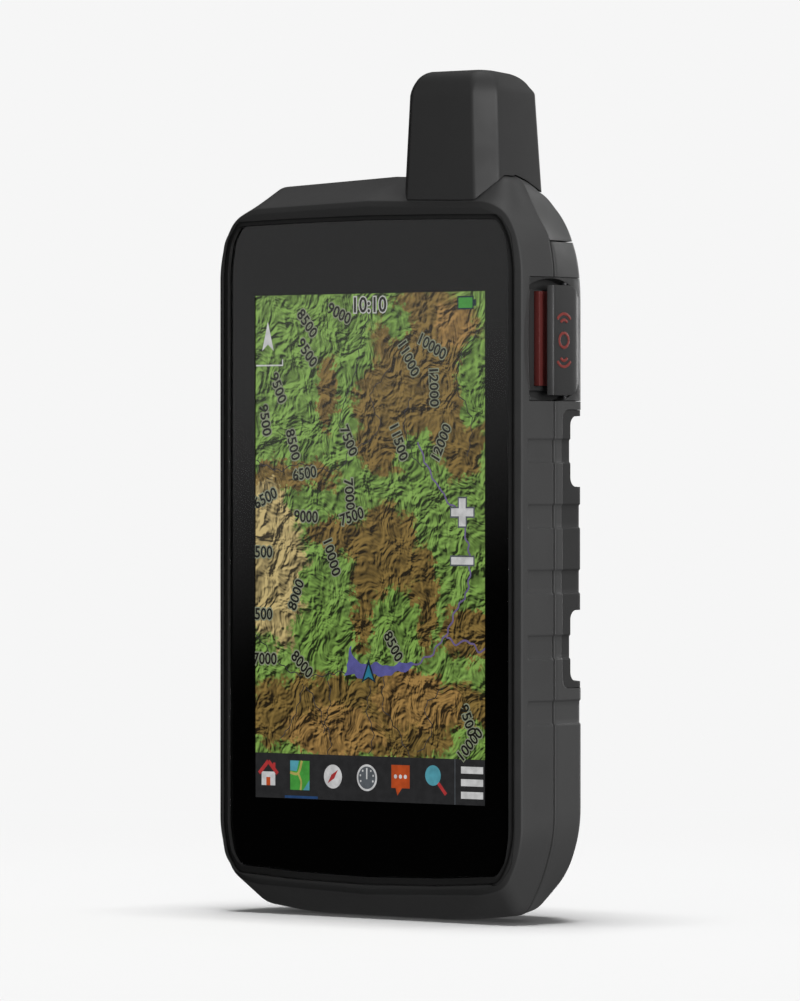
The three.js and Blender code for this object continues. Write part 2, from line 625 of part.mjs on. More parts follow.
// A rubber flap over a port, with a round hinge edge at the bottom and a finger tab at the top.
function portCap(p) {
  const r = CAP_T / 2;
  const plate = slopeBox(p.x, PORT_V + r / 2, p.w, PORT_H - r, CAP_N - CAP_T, CAP_N);
  const barrel = new THREE.CylinderGeometry(r, r, p.w, 16);
  barrel.rotateZ(Math.PI / 2);
  barrel.translate(0, CAP_N - r, r - PORT_H / 2);
  const tab = slopeBox(p.x, PORT_V + PORT_H / 2 - 1, p.w * 0.4, 1.2, CAP_N - 0.5, CAP_N + 0.6);
  return union([plate, onSlope(barrel, p.x, PORT_V), tab]);
}

// ---------------------------------------------------------------- battery door

function doorRib(y0, y1) {
  const outer = box(-RIB.x, RIB.x, y0, y1, RIB.z0, RIB.z1);
  return outer.subtract(box(-RIB.x + RIB.t, RIB.x - RIB.t, 0, FAR, RIB.z0 + RIB.t, RIB.z1 - RIB.t));
}

function padBlocks(shrink) {
  return union(BOTH.map(
    (side) => sideBox(side, NOTCH_X + shrink, PAD.y + shrink, FAR, PAD.z0 + shrink, PAD.z1 - shrink),
  ));
}

function batteryDoor() {
  const outer = caseForm(REAR_YS).intersect(slab(-FAR, DOOR_TOP_Z));
  const inside = caseForm([PART_Y, REAR_EDGE_Y, BACK_Y - DOOR_WALL], [DOOR_WALL, DOOR_WALL, BACK_INSET]);
  const hollow = inside.intersect(slab(-FAR, DOOR_TOP_Z - DOOR_WALL)).subtract(notchBlocks(DOOR_WALL));
  const seat = rodY(0, DRING.z, DRING.recess + 1.8, DRING.y0 - 2.2, BACK_Y - 1, 40);
  const slots = [];
  for (let i = 0; i < SLOT.count; i++) {
    const z = SLOT.z + i * SLOT.pitch;
    slots.push(box(SPEAKER.x - SLOT.half, SPEAKER.x + SLOT.half, BACK_Y - 5, FAR, z, z + SLOT.h));
  }
  return cut(
    union([cut(outer, hollow, notchBlocks(0)), doorRib(RIB.y, BACK_Y - 1), seat]),
    casePlate(DOOR_Y, DOOR_WALL, PART_Y, FLOOR.y1 + 0.4).intersect(slab(SOS.z1, FAR * 2)),
    sosBlock(GAP),
    rearSkin(PAD.t).intersect(padBlocks(0)),
    rearSkin(GROOVE_DEPTH).intersect(grooveBlocks(0, GROOVE_END)),
    rodY(0, DRING.z, DRING.recess, DRING.y0 - GAP, FAR, 40),
    rodY(0, DRING.z, DRING.shank + 0.4, DRING.shank_y, FAR),
    ...slots,
  );
}

function sidePad(side) {
  return cut(
    rearSkin(PAD.t - GAP, 0).intersect(padBlocks(GAP)).intersect(sideBox(side, 0, 0, FAR, 0, FAR * 2)),
    notchBlocks(GAP),
    rearSkin(GROOVE_DEPTH).intersect(grooveBlocks(0, GROOVE_END)),
  );
}

function doorInsert() {
  const { r0, r1, y0, y1 } = INSERT;
  return rodY(0, DRING.z, r1, y0, y1, 28).subtract(rodY(0, DRING.z, r0, 0, FAR));
}

// The outline of the folding ring seen from behind: a bar with a half round bow below it.
function bailPlate(grow, y0, y1) {
  const r1 = BAIL.r + BAIL.t / 2 + grow;
  const r0 = BAIL.r - BAIL.t / 2 - grow;
  const ring = rodY(0, DRING.z, r1, y0, y1, 40).subtract(rodY(0, DRING.z, r0, y0 - 1, y1 + 1, 40));
  const lower = ring.intersect(slab(0, DRING.z));
  return lower.add(box(-r1, r1, y0, y1, DRING.z - BAIL.t / 2 - grow, DRING.z + BAIL.t / 2 + grow));
}

function dRingScrew() {
  const head = rodY(0, DRING.z, DRING.r, DRING.y0, DRING.y1, 40);
  const shank = rodY(0, DRING.z, DRING.shank, DRING.shank_y, DRING.y0 + 0.5, 20);
  const nail = box(-BAIL.nail, BAIL.nail, BAIL.y0, FAR, DRING.z - DRING.r - 1, DRING.z - BAIL.r + 1);
  return cut(head.add(shank), bailPlate(BAIL.room, BAIL.y0 - BAIL.room, FAR), nail);
}

// ---------------------------------------------------------------- emergency button and power key

// The seat's block, made larger all round by grow.
function sosBlock(grow) {
  const z0 = SOS.z0 - grow;
  const z1 = SOS.z1 + grow;
  const front = sideBox(1, SOS.x0 - grow, SOS.y0 - grow, SOS.deep_y + 0.1, z0, z1);
  return front.add(sideBox(1, SOS.deep_x - grow, SOS.deep_y - grow, FAR, z0, z1));
}

function sosBezel() {
  const rim0 = SOS_CAP.z0 - GAP;
  const rim1 = SOS_CAP.z1 + GAP;
  const bowR = (SOS_BOW.half ** 2 + SOS_BOW.rise ** 2) / (2 * SOS_BOW.rise);
  const bowReach = sideBox(1, SOS.floor, SOS.recess_y, SOS_BOW.y + SOS_BOW.half, SOS.z0, SOS.z1);
  const bows = [rim1 + SOS_BOW.rise - bowR, rim0 - SOS_BOW.rise + bowR].map((z) => {
    const rod = new THREE.CylinderGeometry(bowR, bowR, 12, 96);
    rod.rotateZ(Math.PI / 2);
    rod.translate(SOS.floor + 4, SOS_BOW.y, z);
    return solidOf(rod);
  });
  return cut(
    sosBlock(0).intersect(caseForm(WHOLE_YS)),
    sideBox(1, SOS.floor, SOS.recess_y, SOS_HINGE.y, rim0, rim1),
    bows[0].intersect(bows[1]).intersect(bowReach),
    rodZ(SOS_HINGE.x, SOS_HINGE.y, SOS_HINGE.r + GAP, rim0, rim1, 32),
    rodZ(SOS_HINGE.x, SOS_HINGE.y, SOS_HINGE.pin + GAP, SOS.z0 - 1, SOS.z1 - 0.4, 12),
    barX(SOS.deep_x - 1, FAR, SOS_KEY.y, SOS_KEY.z, SOS_KEY.w + GAP, SOS_KEY.h + GAP),
  );
}

function sosCap() {
  const { x, y, r } = SOS_HINGE;
  const turn = Math.PI / 12;
  const outline = [[SOS_CAP.x0, SOS_CAP.y0], [SOS_CAP.x1, SOS_CAP.y0 + SOS_CAP.bevel]];
  const end = 2 * Math.PI - Math.acos((SOS_CAP.x0 - x) / r);
  for (let a = 0; a < end; a += turn) outline.push([x + r * Math.cos(a), y + r * Math.sin(a)]);
  outline.push([SOS_CAP.x0, y - Math.sqrt(r * r - (SOS_CAP.x0 - x) ** 2)]);
  return cut(
    prismZ(outline, SOS_CAP.z0, SOS_CAP.z1),
    rodZ(x, y, SOS_HINGE.pin + GAP, SOS.z0, SOS.z1, 12),
  );
}

function sosCapSeal() {
  const { x0, x1, y0, y1, z0, z1 } = SOS_LINER;
  return box(x0, x1, y0, y1, z0, z1);
}

// A side push switch behind a key, from x0.
function keySwitch(x0) {
  return box(x0, x0 + SWITCH.w, SWITCH.y0, SWITCH.y1, SWITCH.z0, SWITCH.z1);
}

// ---------------------------------------------------------------- assembly

const { x: lcdX, z0: lcdZ0, z1: lcdZ1 } = LCD;
piece("front_housing", frontHousing(), "shell");
piece("lens_gasket", lensGasket(), "rubber");
piece("cover_glass", glassPlate(0, 0, GLASS_T), "glass");
piece("lcd_panel", box(-lcdX, lcdX, LCD.y0, LCD.y1, lcdZ0, lcdZ1), "display");
piece("lcd_tray", lcdTray(), "steel");
piece("chassis_plate", chassisPlate(), "aluminium");
piece("main_board", mainBoard(), "board");
piece("rf_shield_can", shieldCan(...RF_CAN), "steel");
piece("cpu_shield_can", shieldCan(...CPU_CAN), "steel");
piece("card_socket", cardSocket(), "steel");
piece("memory_card", box(-CARD.w, CARD.w, CARD.y0, CARD.y1, CARD.z + 2, CARD.z + 2 + CARD.length), "plastic");
piece("gnss_antenna", box(...GNSS), "ceramic");
piece("speaker", speaker(), "plastic");
SCREWS.forEach(([x, z], i) => piece(`case_screw_${i + 1}`, screw(x, z), "steel"));
piece("case_seal", sealRing(SEAL_D, SEAL_D + SEAL_W, PART_Y - SEAL_BITE, FLOOR.y0 - GAP), "rubber");
piece("satellite_antenna", satelliteAntenna(), "ceramic");
piece("antenna_cover", antennaCover(), "shell");
piece("antenna_seal", antennaSeal(), "rubber");
piece("rear_housing", rearHousing(), "shell");
piece("usb_port", usbPort(), "steel");
piece("antenna_jack", antennaJack(), "brass");
piece("usb_cap", portCap(USB), "rubber");
piece("jack_cap", portCap(JACK), "rubber");
piece("battery_pack", box(-BATTERY.x, BATTERY.x, BATTERY.y0, BATTERY.y1, BATTERY.z0, BATTERY.z1), "battery");
piece("battery_contacts", box(-CONTACTS.x, CONTACTS.x, CAN.y0, FLOOR.y1, CONTACTS.z0, CONTACTS.z1), "brass");
piece("door_insert", doorInsert(), "brass");
piece("battery_door", batteryDoor(), "shell");
piece("door_seal", doorRib(FLOOR.y1 + GAP, RIB.y - GAP), "rubber");
piece("side_pad_right", sidePad(1), "rubber");
piece("side_pad_left", sidePad(-1), "rubber");
piece("d_ring_screw", dRingScrew(), "steel");
piece("d_ring", bailPlate(0, BAIL.y0, BAIL.y0 + BAIL.t), "steel");
piece("sos_bezel", sosBezel(), "plastic");
piece("sos_cap", sosCap(), "plastic");
piece("sos_cap_pin", rodZ(SOS_HINGE.x, SOS_HINGE.y, SOS_HINGE.pin, SOS.z0 + 0.1, SOS.z1 - 0.7, 16), "steel");
piece("sos_cap_seal", sosCapSeal(), "red");
piece("sos_button", barX(SOS_KEY.x0, SOS_KEY.x1, SOS_KEY.y, SOS_KEY.z, SOS_KEY.w, SOS_KEY.h), "red");
piece("sos_switch", keySwitch(SWITCH.sos_x), "steel");
piece("power_key", barX(POWER.x0, POWER.x1, POWER.y, POWER.z, POWER.w, POWER.h), "rubber");
piece("power_switch", keySwitch(SWITCH.power_x - SWITCH.w), "steel");

unit.position.y = -REST_Y;
export default unit;
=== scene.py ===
import json
import math

import bmesh
import bpy
import numpy as np
from mathutils import Matrix, Vector


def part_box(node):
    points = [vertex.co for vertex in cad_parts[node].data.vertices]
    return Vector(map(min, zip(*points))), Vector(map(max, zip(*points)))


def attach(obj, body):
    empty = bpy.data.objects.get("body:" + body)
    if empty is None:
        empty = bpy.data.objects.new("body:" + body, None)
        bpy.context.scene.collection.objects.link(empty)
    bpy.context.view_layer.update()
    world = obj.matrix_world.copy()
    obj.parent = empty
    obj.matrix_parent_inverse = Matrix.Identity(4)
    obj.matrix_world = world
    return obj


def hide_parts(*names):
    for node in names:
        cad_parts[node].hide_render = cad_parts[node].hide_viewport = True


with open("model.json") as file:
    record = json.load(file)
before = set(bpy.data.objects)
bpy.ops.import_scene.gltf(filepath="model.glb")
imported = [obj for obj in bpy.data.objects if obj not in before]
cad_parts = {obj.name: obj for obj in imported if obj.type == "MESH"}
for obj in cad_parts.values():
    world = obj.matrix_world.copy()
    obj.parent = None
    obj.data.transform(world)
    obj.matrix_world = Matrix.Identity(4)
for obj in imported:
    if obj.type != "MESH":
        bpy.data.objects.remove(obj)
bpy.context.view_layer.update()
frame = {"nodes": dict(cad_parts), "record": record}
GLASS_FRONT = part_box("cover_glass")[0].y  # row-frame Y of the front of the glass, in metres
MM = 0.001

# ---------------------------------------------------------------- driving dimensions, as in the CAD part
GAP = 0.3
LIP_Y, LIP_BEVEL = 1.0, 1.3
BOTTOM_FULL_Y, PART_Y, REAR_EDGE_Y, BACK_Y = 8.0, 10.6, 20.2, 32.7
DOOR_Y = PART_Y + GAP
REAR_CHAMFER = 15.5
WALL, DOOR_WALL = 1.8, 1.6
DOOR_TOP_Z = 145.9
CAP_Z = DOOR_TOP_Z + GAP
LIP_OUTLINE = [
    (0, 5.1), (33, 6.2), (38.8, 7.8), (41.8, 13.2), (43.2, 18.5),
    (43.2, 141.5), (41.8, 147.4), (38.9, 152.2), (33.6, 154.4), (0, 155.4),
]
PART_OUTLINE = [
    (0, 0), (22, 0), (36.6, 1.7), (41.2, 9.3), (44.4, 19),
    (44.4, 140.5), (43.2, 146.8), (38.8, 153.2), (35.0, 159.4), (0, 160.9),
]
REAR_OUTLINE = [
    (0, 0), (20, 0), (31.8, 2.2), (40.6, 10.4), (44, 20),
    (44, 136), (43.1, 142.8), (40, 150.3), (33, 157.5), (0, 158.6),
]
GLASS_OUTLINE = [
    (0, 8.9), (20, 9.3), (36.8, 10.3), (39.1, 13.2), (40.2, 18.5),
    (40.2, 141.5), (39.2, 147.2), (36.9, 150.6), (20, 151), (0, 151.2),
]
CORNER_R = [0, 12, 5, 9, 9, 9, 6, 9, 8, 0]
GLASS_R = [0, 6, 2.4, 3, 5, 5, 3, 2.4, 6, 0]
FAIRING = 2.9  # how far the shoulder swells towards the antenna
SEAT_GAP = 0.12  # between the shells and the emergency button's seat
SIDE = 4  # the outline's straight side runs from this anchor to the next
GLASS_T, POCKET_OUT, POCKET_LOW, LEDGE_Y, LEDGE_BACK = 1.05, 1.7, 0.8, 2.0, 3.8
GROOVES = [45.2 + i * 13.98 for i in range(5)]
GROOVE_Y, GROOVE_H, GROOVE_DEPTH, GROOVE_END = 2.9, 5.2, 0.35, 22.2
NOTCHES = [(51.8, 67.0), (93.5, 108.6)]
NOTCH_X, NOTCH_Y = 34.0, 16.5
PAD_Y, PAD_Z0, PAD_Z1, PAD_T = 13.5, 50.3, 110.0, 1.0
SOS_Z0, SOS_Z1, SOS_Y0, SOS_X0 = 111.9, 138.2, 3.4, 40.0
SOS_DEEP_X, SOS_DEEP_Y, SOS_FLOOR, RECESS_Y = 39.2, 11.6, 42.9, 3.9
CAP_Z0, CAP_Z1, CAP_X0, CAP_X1, CAP_Y0, CAP_BEVEL = 113.0, 136.5, 45.3, 46.6, 7.0, 1.9
HINGE_X, HINGE_Y, HINGE_R, HINGE_PIN = 43.6, 15.0, 3.0, 0.5
KEY_Y, KEY_Z, KEY_W, KEY_H = 8.2, 124.75, 2.4, 7.0
POWER_Y, POWER_Z, POWER_W, POWER_H = 6.2, 125.0, 1.6, 7.0
BOSS = dict(x0=7.1, x1=33.9, y0=1.0, y1=20.2, facet=3.9, back=1.0, face_z=179.4, top_z=183.3, low_z=148.0)
BOSS_TAPER, BOSS_CHAMFER, BOSS_TILT, BOSS_WALL = 1.3, 3.9, 0.08, 2.4
DRING_Z, DRING_R, DRING_Y0, DRING_Y1, DRING_RECESS = 28.5, 9.6, 29.6, 32.3, 10.4
PORT_V, PORT_H = 8.0, 9.0
PORTS = {"usb_cap": (-16.0, 16.0), "jack_cap": (4.0, 9.0)}
SCREEN_X, SCREEN_Z0, SCREEN_Z1, TOOLBAR_Z = 33.0, 25.3, 135.3, 35.1
SLOPE = math.atan2(BACK_Y - REAR_EDGE_Y, REAR_CHAMFER)
SCREW_X, SCREW_ZS = 35.6, (30, 84, 136)
SPEAKER_SLOTS, SLOT_Z, SLOT_PITCH, SLOT_H = 4, 129.1, 2.9, 1.3
STRIP_Z0, STRIP_Z1 = 115.0, 135.2


def place(x, y, z):
    return Vector((x * MM, y * MM + GLASS_FRONT, z * MM))


# ---------------------------------------------------------------- materials
CLEAR_DEPTH = 0.85  # how much nearer the display looks through the glass than it lies
LIP_DULL = 0.35  # how much rougher the front lip is than the rest of the shell
GLASS_ROUGH = 0.05  # what is bonded to the back of the glass shines as smoothly as the glass


class Nodes:
    """Short calls for the node tree of a new material, or of the owner that is given."""

    def __init__(self, name, owner=None, output="ShaderNodeOutputMaterial"):
        self.material = owner or bpy.data.materials.new(name)
        self.material.use_nodes = True
        self.tree = self.material.node_tree
        self.tree.nodes.clear()
        self.out = self.add(output)

    def add(self, kind, **settings):
        node = self.tree.nodes.new(kind)
        for key, value in settings.items():
            setattr(node, key, value)
        return node

    def link(self, source, target):
        self.tree.links.new(source, target)

    def feed(self, socket, value):
        if isinstance(value, bpy.types.NodeSocket):
            self.link(value, socket)
        else:
            socket.default_value = value

    def math(self, operation, a, b=0.0, c=0.0):
        node = self.add("ShaderNodeMath", operation=operation)
        for socket, value in zip(node.inputs, (a, b, c)):
            self.feed(socket, value)
        return node.outputs[0]

    def vector(self, operation, a, b=(0, 0, 0), scale=1.0):
        node = self.add("ShaderNodeVectorMath", operation=operation)
        self.feed(node.inputs[0], a)
        self.feed(node.inputs[1], b)
        if operation == "SCALE":
            node.inputs["Scale"].default_value = scale
        return node.outputs["Value" if operation in ("LENGTH", "DOT_PRODUCT") else "Vector"]

    def ramp(self, value, low, high, to_low=0.0, to_high=1.0, smooth=True):
        node = self.add("ShaderNodeMapRange", interpolation_type="SMOOTHSTEP" if smooth else "LINEAR")
        for i, v in enumerate((value, low, high, to_low, to_high)):
            self.feed(node.inputs[i], v)
        return node.outputs[0]

    def mix(self, factor, a, b, blend="MIX"):
        node = self.add("ShaderNodeMix", data_type="RGBA", blend_type=blend)
        self.feed(node.inputs[0], factor)
        for socket, value in ((node.inputs[6], a), (node.inputs[7], b)):
            self.feed(socket, (*value, 1) if isinstance(value, tuple) and len(value) == 3 else value)
        return node.outputs[2]

    def noise(self, vector, scale, detail=2.0, roughness=0.5, kind="FBM", distortion=0.0, out=0):
        node = self.add("ShaderNodeTexNoise", noise_type=kind)
        self.feed(node.inputs["Vector"], vector)
        node.inputs["Scale"].default_value = scale
        node.inputs["Detail"].default_value = detail
        node.inputs["Roughness"].default_value = roughness
        node.inputs["Distortion"].default_value = distortion
        return node.outputs[out]

    def show(self, color):
        """Ends the tree as a lit part of a display."""
        shader = self.add("ShaderNodeBsdfPrincipled")
        shader.inputs["Base Color"].default_value = (0.01, 0.01, 0.01, 1)
        self.feed(shader.inputs["Emission Color"], color)
        shader.inputs["Emission Strength"].default_value = 1.0
        shader.inputs["Roughness"].default_value = GLASS_ROUGH
        self.link(shader.outputs[0], self.out.inputs[0])

    def lip_tone(self, at, share):
        """1 behind the front lip, and share on the lip itself."""
        split = self.add("ShaderNodeSeparateXYZ")
        self.feed(split.inputs[0], at)
        front = GLASS_FRONT / MM
        return self.ramp(split.outputs[1], front + 0.85, front + 1.25, share, 1.0)

    def coords(self):
        """Place on the object, in millimetres."""
        return self.vector("SCALE", self.add("ShaderNodeTexCoord").outputs["Object"], scale=1 / MM)


def moulded(name, color, rough, grain=0.3, bump=0.012, spread=0.1, edge=0.25, metal=0.0, rough_spread=0.06,
            specular=0.5, lip=None):
    """Grained, with colour and gloss that vary a little and soft edges. grain, bump and edge are in mm."""
    n = Nodes(name)
    at = n.coords()
    shader = n.add("ShaderNodeBsdfPrincipled")
    cloud = n.noise(at, 0.08, 3.0, 0.6)
    fine = n.noise(at, 1 / grain, 2.0, 0.55)
    tone = n.math("MULTIPLY_ADD", cloud, spread, n.math("MULTIPLY_ADD", fine, spread * 0.6, 1 - spread * 0.8))
    dull = n.ramp(cloud, 0.3, 0.7, rough - rough_spread, rough + rough_spread) if rough_spread else None
    if lip is not None:
        front = n.lip_tone(at, lip)
        tone = n.math("MULTIPLY", tone, front)
        dull = n.math("MULTIPLY_ADD", n.math("SUBTRACT", 1.0, front), LIP_DULL / (1 - lip), dull)
    shade = n.mix(1.0, color, tone, "MULTIPLY")
    n.link(shade, shader.inputs["Base Color"])
    shader.inputs["Roughness"].default_value = rough
    if dull is not None:
        n.link(dull, shader.inputs["Roughness"])
    shader.inputs["Metallic"].default_value = metal
    shader.inputs["Specular IOR Level"].default_value = specular
    relief = n.add("ShaderNodeBump")
    relief.inputs["Strength"].default_value = 0.6
    relief.inputs["Distance"].default_value = bump * MM
    n.link(fine, relief.inputs["Height"])
    if edge:
        soft = n.add("ShaderNodeBevel", samples=4)
        soft.inputs["Radius"].default_value = edge * MM
        n.link(soft.outputs[0], relief.inputs["Normal"])
    n.link(relief.outputs[0], shader.inputs["Normal"])
    n.link(shader.outputs[0], n.out.inputs[0])
    return n.material


SHELL = moulded("shell_plastic", (0.047, 0.047, 0.047), 0.55)
FRONT = moulded("front_plastic", (0.047, 0.047, 0.047), 0.55, lip=0.38)
BOOT = moulded("pad_rubber", (0.02, 0.02, 0.02), 0.7, grain=0.4)
RUBBER = moulded("black_rubber", (0.01, 0.01, 0.01), 0.75, grain=0.5)
PLASTIC = moulded("black_plastic", (0.026, 0.026, 0.026), 0.45, grain=0.35)
ANTENNA = moulded("antenna_plastic", (0.027, 0.027, 0.027), 0.6, edge=0.15)
BLACK_STEEL = moulded("blackened_steel", (0.03, 0.03, 0.032), 0.5, grain=0.5, bump=0.006)
STEEL = moulded("steel", (0.42, 0.43, 0.44), 0.32, grain=0.5, metal=1.0, bump=0.006)
ALUMINIUM = moulded("aluminium", (0.5, 0.51, 0.52), 0.42, grain=0.6, metal=1.0, bump=0.01)
BRASS = moulded("brass", (0.62, 0.43, 0.16), 0.35, grain=0.4, metal=1.0, bump=0.006)
BOARD = moulded("solder_mask", (0.01, 0.09, 0.035), 0.4, grain=0.8, spread=0.3)
CERAMIC = moulded("ceramic", (0.5, 0.42, 0.3), 0.6, grain=0.4)
RED = moulded("red_silicone", (0.085, 0.009, 0.007), 0.6, grain=0.4, spread=0.2)
WRAP = moulded("battery_wrap", (0.02, 0.022, 0.027), 0.35, grain=1.2, spread=0.2)
DARK = moulded("display_back", (0.004, 0.004, 0.004), 0.5, grain=1.0, bump=0.0, specular=0.2)
PRINT = moulded("glass_print", (0.0012, 0.0012, 0.0012), GLASS_ROUGH, grain=1.0, bump=0.0, edge=0,
                rough_spread=0.0)
MARK_RED = moulded("mark_red", (0.2, 0.03, 0.024), 0.5, grain=0.5, spread=0.25)


# ---------------------------------------------------------------- outlines and forms
def inset(half, d):
    """Moves a half outline inwards by d, keeping its sides parallel."""
    points = [(-half[1][0], half[1][1]), *half]
    points.append((-half[-2][0], half[-2][1]))
    moved = []
    for a, p, b in zip(points, points[1:], points[2:]):
        n1, n2 = inward(a, p), inward(p, b)
        k = d / (1 + n1[0] * n2[0] + n1[1] * n2[1])
        moved.append((p[0] + (n1[0] + n2[0]) * k, p[1] + (n1[1] + n2[1]) * k))
    return moved


def inward(a, b):
    length = math.hypot(b[0] - a[0], b[1] - a[1])
    return -(b[1] - a[1]) / length, (b[0] - a[0]) / length


def blend(a, b, t):
    return [(p[0] + (q[0] - p[0]) * t, p[1] + (q[1] - p[1]) * t) for p, q in zip(a, b)]


def soft_max(v, w):
    """max(v, 0) with its corner rounded over w each way."""
    if v <= -w:
        return 0.0
    return v if v >= w else (v + w) ** 2 / (4 * w)


def case_half(y, d=0.0, edge=0.8):
    """The case's half outline at a depth, moved inwards by d. edge is how softly the rear edge turns."""
    if y < LIP_Y:
        return inset(LIP_OUTLINE, LIP_BEVEL * (1 - y / LIP_Y) + d)
    if y <= PART_Y:
        t = (y - LIP_Y) / (PART_Y - LIP_Y)
        low = 1 - soft_max(1 - (y - LIP_Y) / (BOTTOM_FULL_Y - LIP_Y), 0.18)
        side, base = blend(LIP_OUTLINE, PART_OUTLINE, t), blend(LIP_OUTLINE, PART_OUTLINE, max(low, 0))
        return inset(base[:3] + side[3:], d)
    back = blend(PART_OUTLINE, REAR_OUTLINE, min(1, (y - PART_Y) / (REAR_EDGE_Y - PART_Y)))
    return inset(back, REAR_CHAMFER * soft_max(y - REAR_EDGE_Y, edge) / (BACK_Y - REAR_EDGE_Y) + d)


def side_lines():
    """Heights of the mesh lines on the straight side, close together at the grooves' edges."""
    lines = [27.0, 31.0, 35.0, 39.0, 111.5, 116.0, 121.0, 126.0, 131.0]
    for z in GROOVES:
        half = GROOVE_H / 2
        near = (-1.4, -0.35, -0.2, -0.05, 0.1, 0.25, 1.4)
        lines += [z + s * (half + e) for s in (-1, 1) for e in near] + [z]
    for a, b in zip(GROOVES, GROOVES[1:]):
        lines.append((a + b) / 2)
    return sorted(lines)


SIDE_LINES = side_lines()
STRAIGHT = [12, 4, 3, 3, 0, 2, 2, 3, 14]


def whole(half, radii, steps=8, side=SIDE_LINES):
    """A full outline, its corners rounded, as a list of (x, z) from the bottom centre round by the right."""
    corners = []
    for i, p in enumerate(half):
        if not radii[i]:
            corners.append([p])
            continue
        a, b = half[i - 1], half[i + 1]
        la, lb = math.dist(a, p), math.dist(b, p)
        reach = min(radii[i] * 0.5, la * 0.45, lb * 0.45)
        start = [p[k] + (a[k] - p[k]) * reach / la for k in (0, 1)]
        end = [p[k] + (b[k] - p[k]) * reach / lb for k in (0, 1)]
        ts = [s / steps for s in range(steps + 1)]
        corners.append([tuple((1 - t) ** 2 * start[k] + 2 * t * (1 - t) * p[k] + t * t * end[k]
                              for k in (0, 1)) for t in ts])
    right = []
    for i, corner in enumerate(corners):
        right += corner
        if i + 1 == len(corners):
            break
        a, b = corner[-1], corners[i + 1][0]
        if i == SIDE and side:
            right += [(a[0] + (b[0] - a[0]) * (z - a[1]) / (b[1] - a[1]), z) for z in side]
        else:
            count = STRAIGHT[i]
            right += [tuple(a[k] + (b[k] - a[k]) * (s + 1) / (count + 1) for k in (0, 1))
                      for s in range(count)]
    return right + [(-x, z) for x, z in reversed(right[1:-1])]


def groove_depth(y, z, y_end):
    ease = lambda v, a, b: min(1.0, max(0.0, (v - a) / (b - a)))
    deep = 0.0
    for middle in GROOVES:
        deep = max(deep, ease(GROOVE_H / 2 - abs(z - middle), -0.05, 0.3))
    return GROOVE_DEPTH * deep * ease(y, GROOVE_Y - 0.05, GROOVE_Y + 0.3) * (1 - ease(y, y_end - 0.4, y_end))


def ring(y, d=0.0, grooves=False, outline=None, radii=CORNER_R, shift=None):
    """One loop of the form, as (x, y, z) points."""
    half = inset(outline, d) if outline else case_half(y, d)
    points = []
    for x, z in whole(half, radii):
        deep = groove_depth(y, z, GROOVE_END) if grooves and abs(x) > 35 else 0.0
        lift = 0.0 if outline else fairing(x, y, z)
        points.append((x - math.copysign(deep, x), y, z + lift))
    return points


def step(v, a, b):
    t = min(1.0, max(0.0, (v - a) / (b - a)))
    return t * t * (3 - 2 * t)


def fairing(x, y, z):
    """The top right shoulder swells a little where it meets the antenna."""
    if z < 145:
        return 0.0
    rise = step(y, 0.5, 6) * (1 - 0.7 * step(y, 6, 10.8)) * (1 - step(y, 14, 20))
    return FAIRING * step(x, 24, 31) * (1 - step(x, 34, 40)) * rise


def bezier(a, c, b, steps):
    return [tuple((1 - t) ** 2 * a[k] + 2 * t * (1 - t) * c[k] + t * t * b[k] for k in range(len(a)))
            for t in (s / steps for s in range(steps + 1))]


# ---------------------------------------------------------------- mesh building
def add(name, data):
    """A new object in the scene."""
    made = bpy.data.objects.new(name, data)
    bpy.context.scene.collection.objects.link(made)
    return made


def edited(mesh, change):
    """Applies change to the mesh, opened for editing."""
    work = bmesh.new()
    work.from_mesh(mesh)
    change(work)
    work.to_mesh(mesh)
    work.free()


def evaluated(target):
    """A mesh of the target with its modifiers applied."""
    bpy.context.view_layer.update()
    return bpy.data.meshes.new_from_object(target.evaluated_get(bpy.context.evaluated_depsgraph_get()))


def mesh_object(name, vertices, faces, smooth=35):
    mesh = bpy.data.meshes.new(name)
    mesh.from_pydata([place(*v) for v in vertices], [], faces)
    mesh.validate()
    made = add(name, mesh)
    edited(mesh, lambda work: bmesh.ops.recalc_face_normals(work, faces=work.faces))
    finish_shading(mesh, smooth)
    return made


def finish_shading(mesh, smooth):
    mesh.shade_smooth()
    mesh.set_sharp_from_angle(angle=math.radians(smooth))


def shrunk(loop, by=0.4):
    """A copy of a flat loop, a little smaller, that keeps the shading of a flat cap flat."""
    middle = np.mean(loop, axis=0)
    reach = max(np.linalg.norm(np.array(loop) - middle, axis=1))
    return [tuple(middle + (np.array(p) - middle) * (1 - by / reach)) for p in loop]


def loft(name, loops, closed=False, smooth=35, caps=False):
    """A solid through loops with equal numbers of points; closed joins the last loop to the first."""
    if caps:
        loops = [shrunk(loops[0]), *loops, shrunk(loops[-1])]
    count = len(loops[0])
    faces = []
    last = len(loops) if closed else len(loops) - 1
    for s in range(last):
        a, b = s * count, ((s + 1) % len(loops)) * count
        faces += [(a + i, a + (i + 1) % count, b + (i + 1) % count, b + i) for i in range(count)]
    if not closed:
        faces.append(tuple(range(count))[::-1])
        faces.append(tuple((len(loops) - 1) * count + i for i in range(count)))
    return mesh_object(name, [p for loop in loops for p in loop], faces, smooth)


def prism(name, outline, axis, low, high, smooth=35):
    """A straight prism of an outline. axis x takes (y, z) points, y takes (x, z) and z takes (x, y)."""
    order = {
        "x": lambda a, b, h: (h, a, b),
        "y": lambda a, b, h: (a, h, b),
        "z": lambda a, b, h: (a, b, h),
    }[axis]
    return loft(name, [[order(a, b, h) for a, b in outline] for h in (low, high)], smooth=smooth)


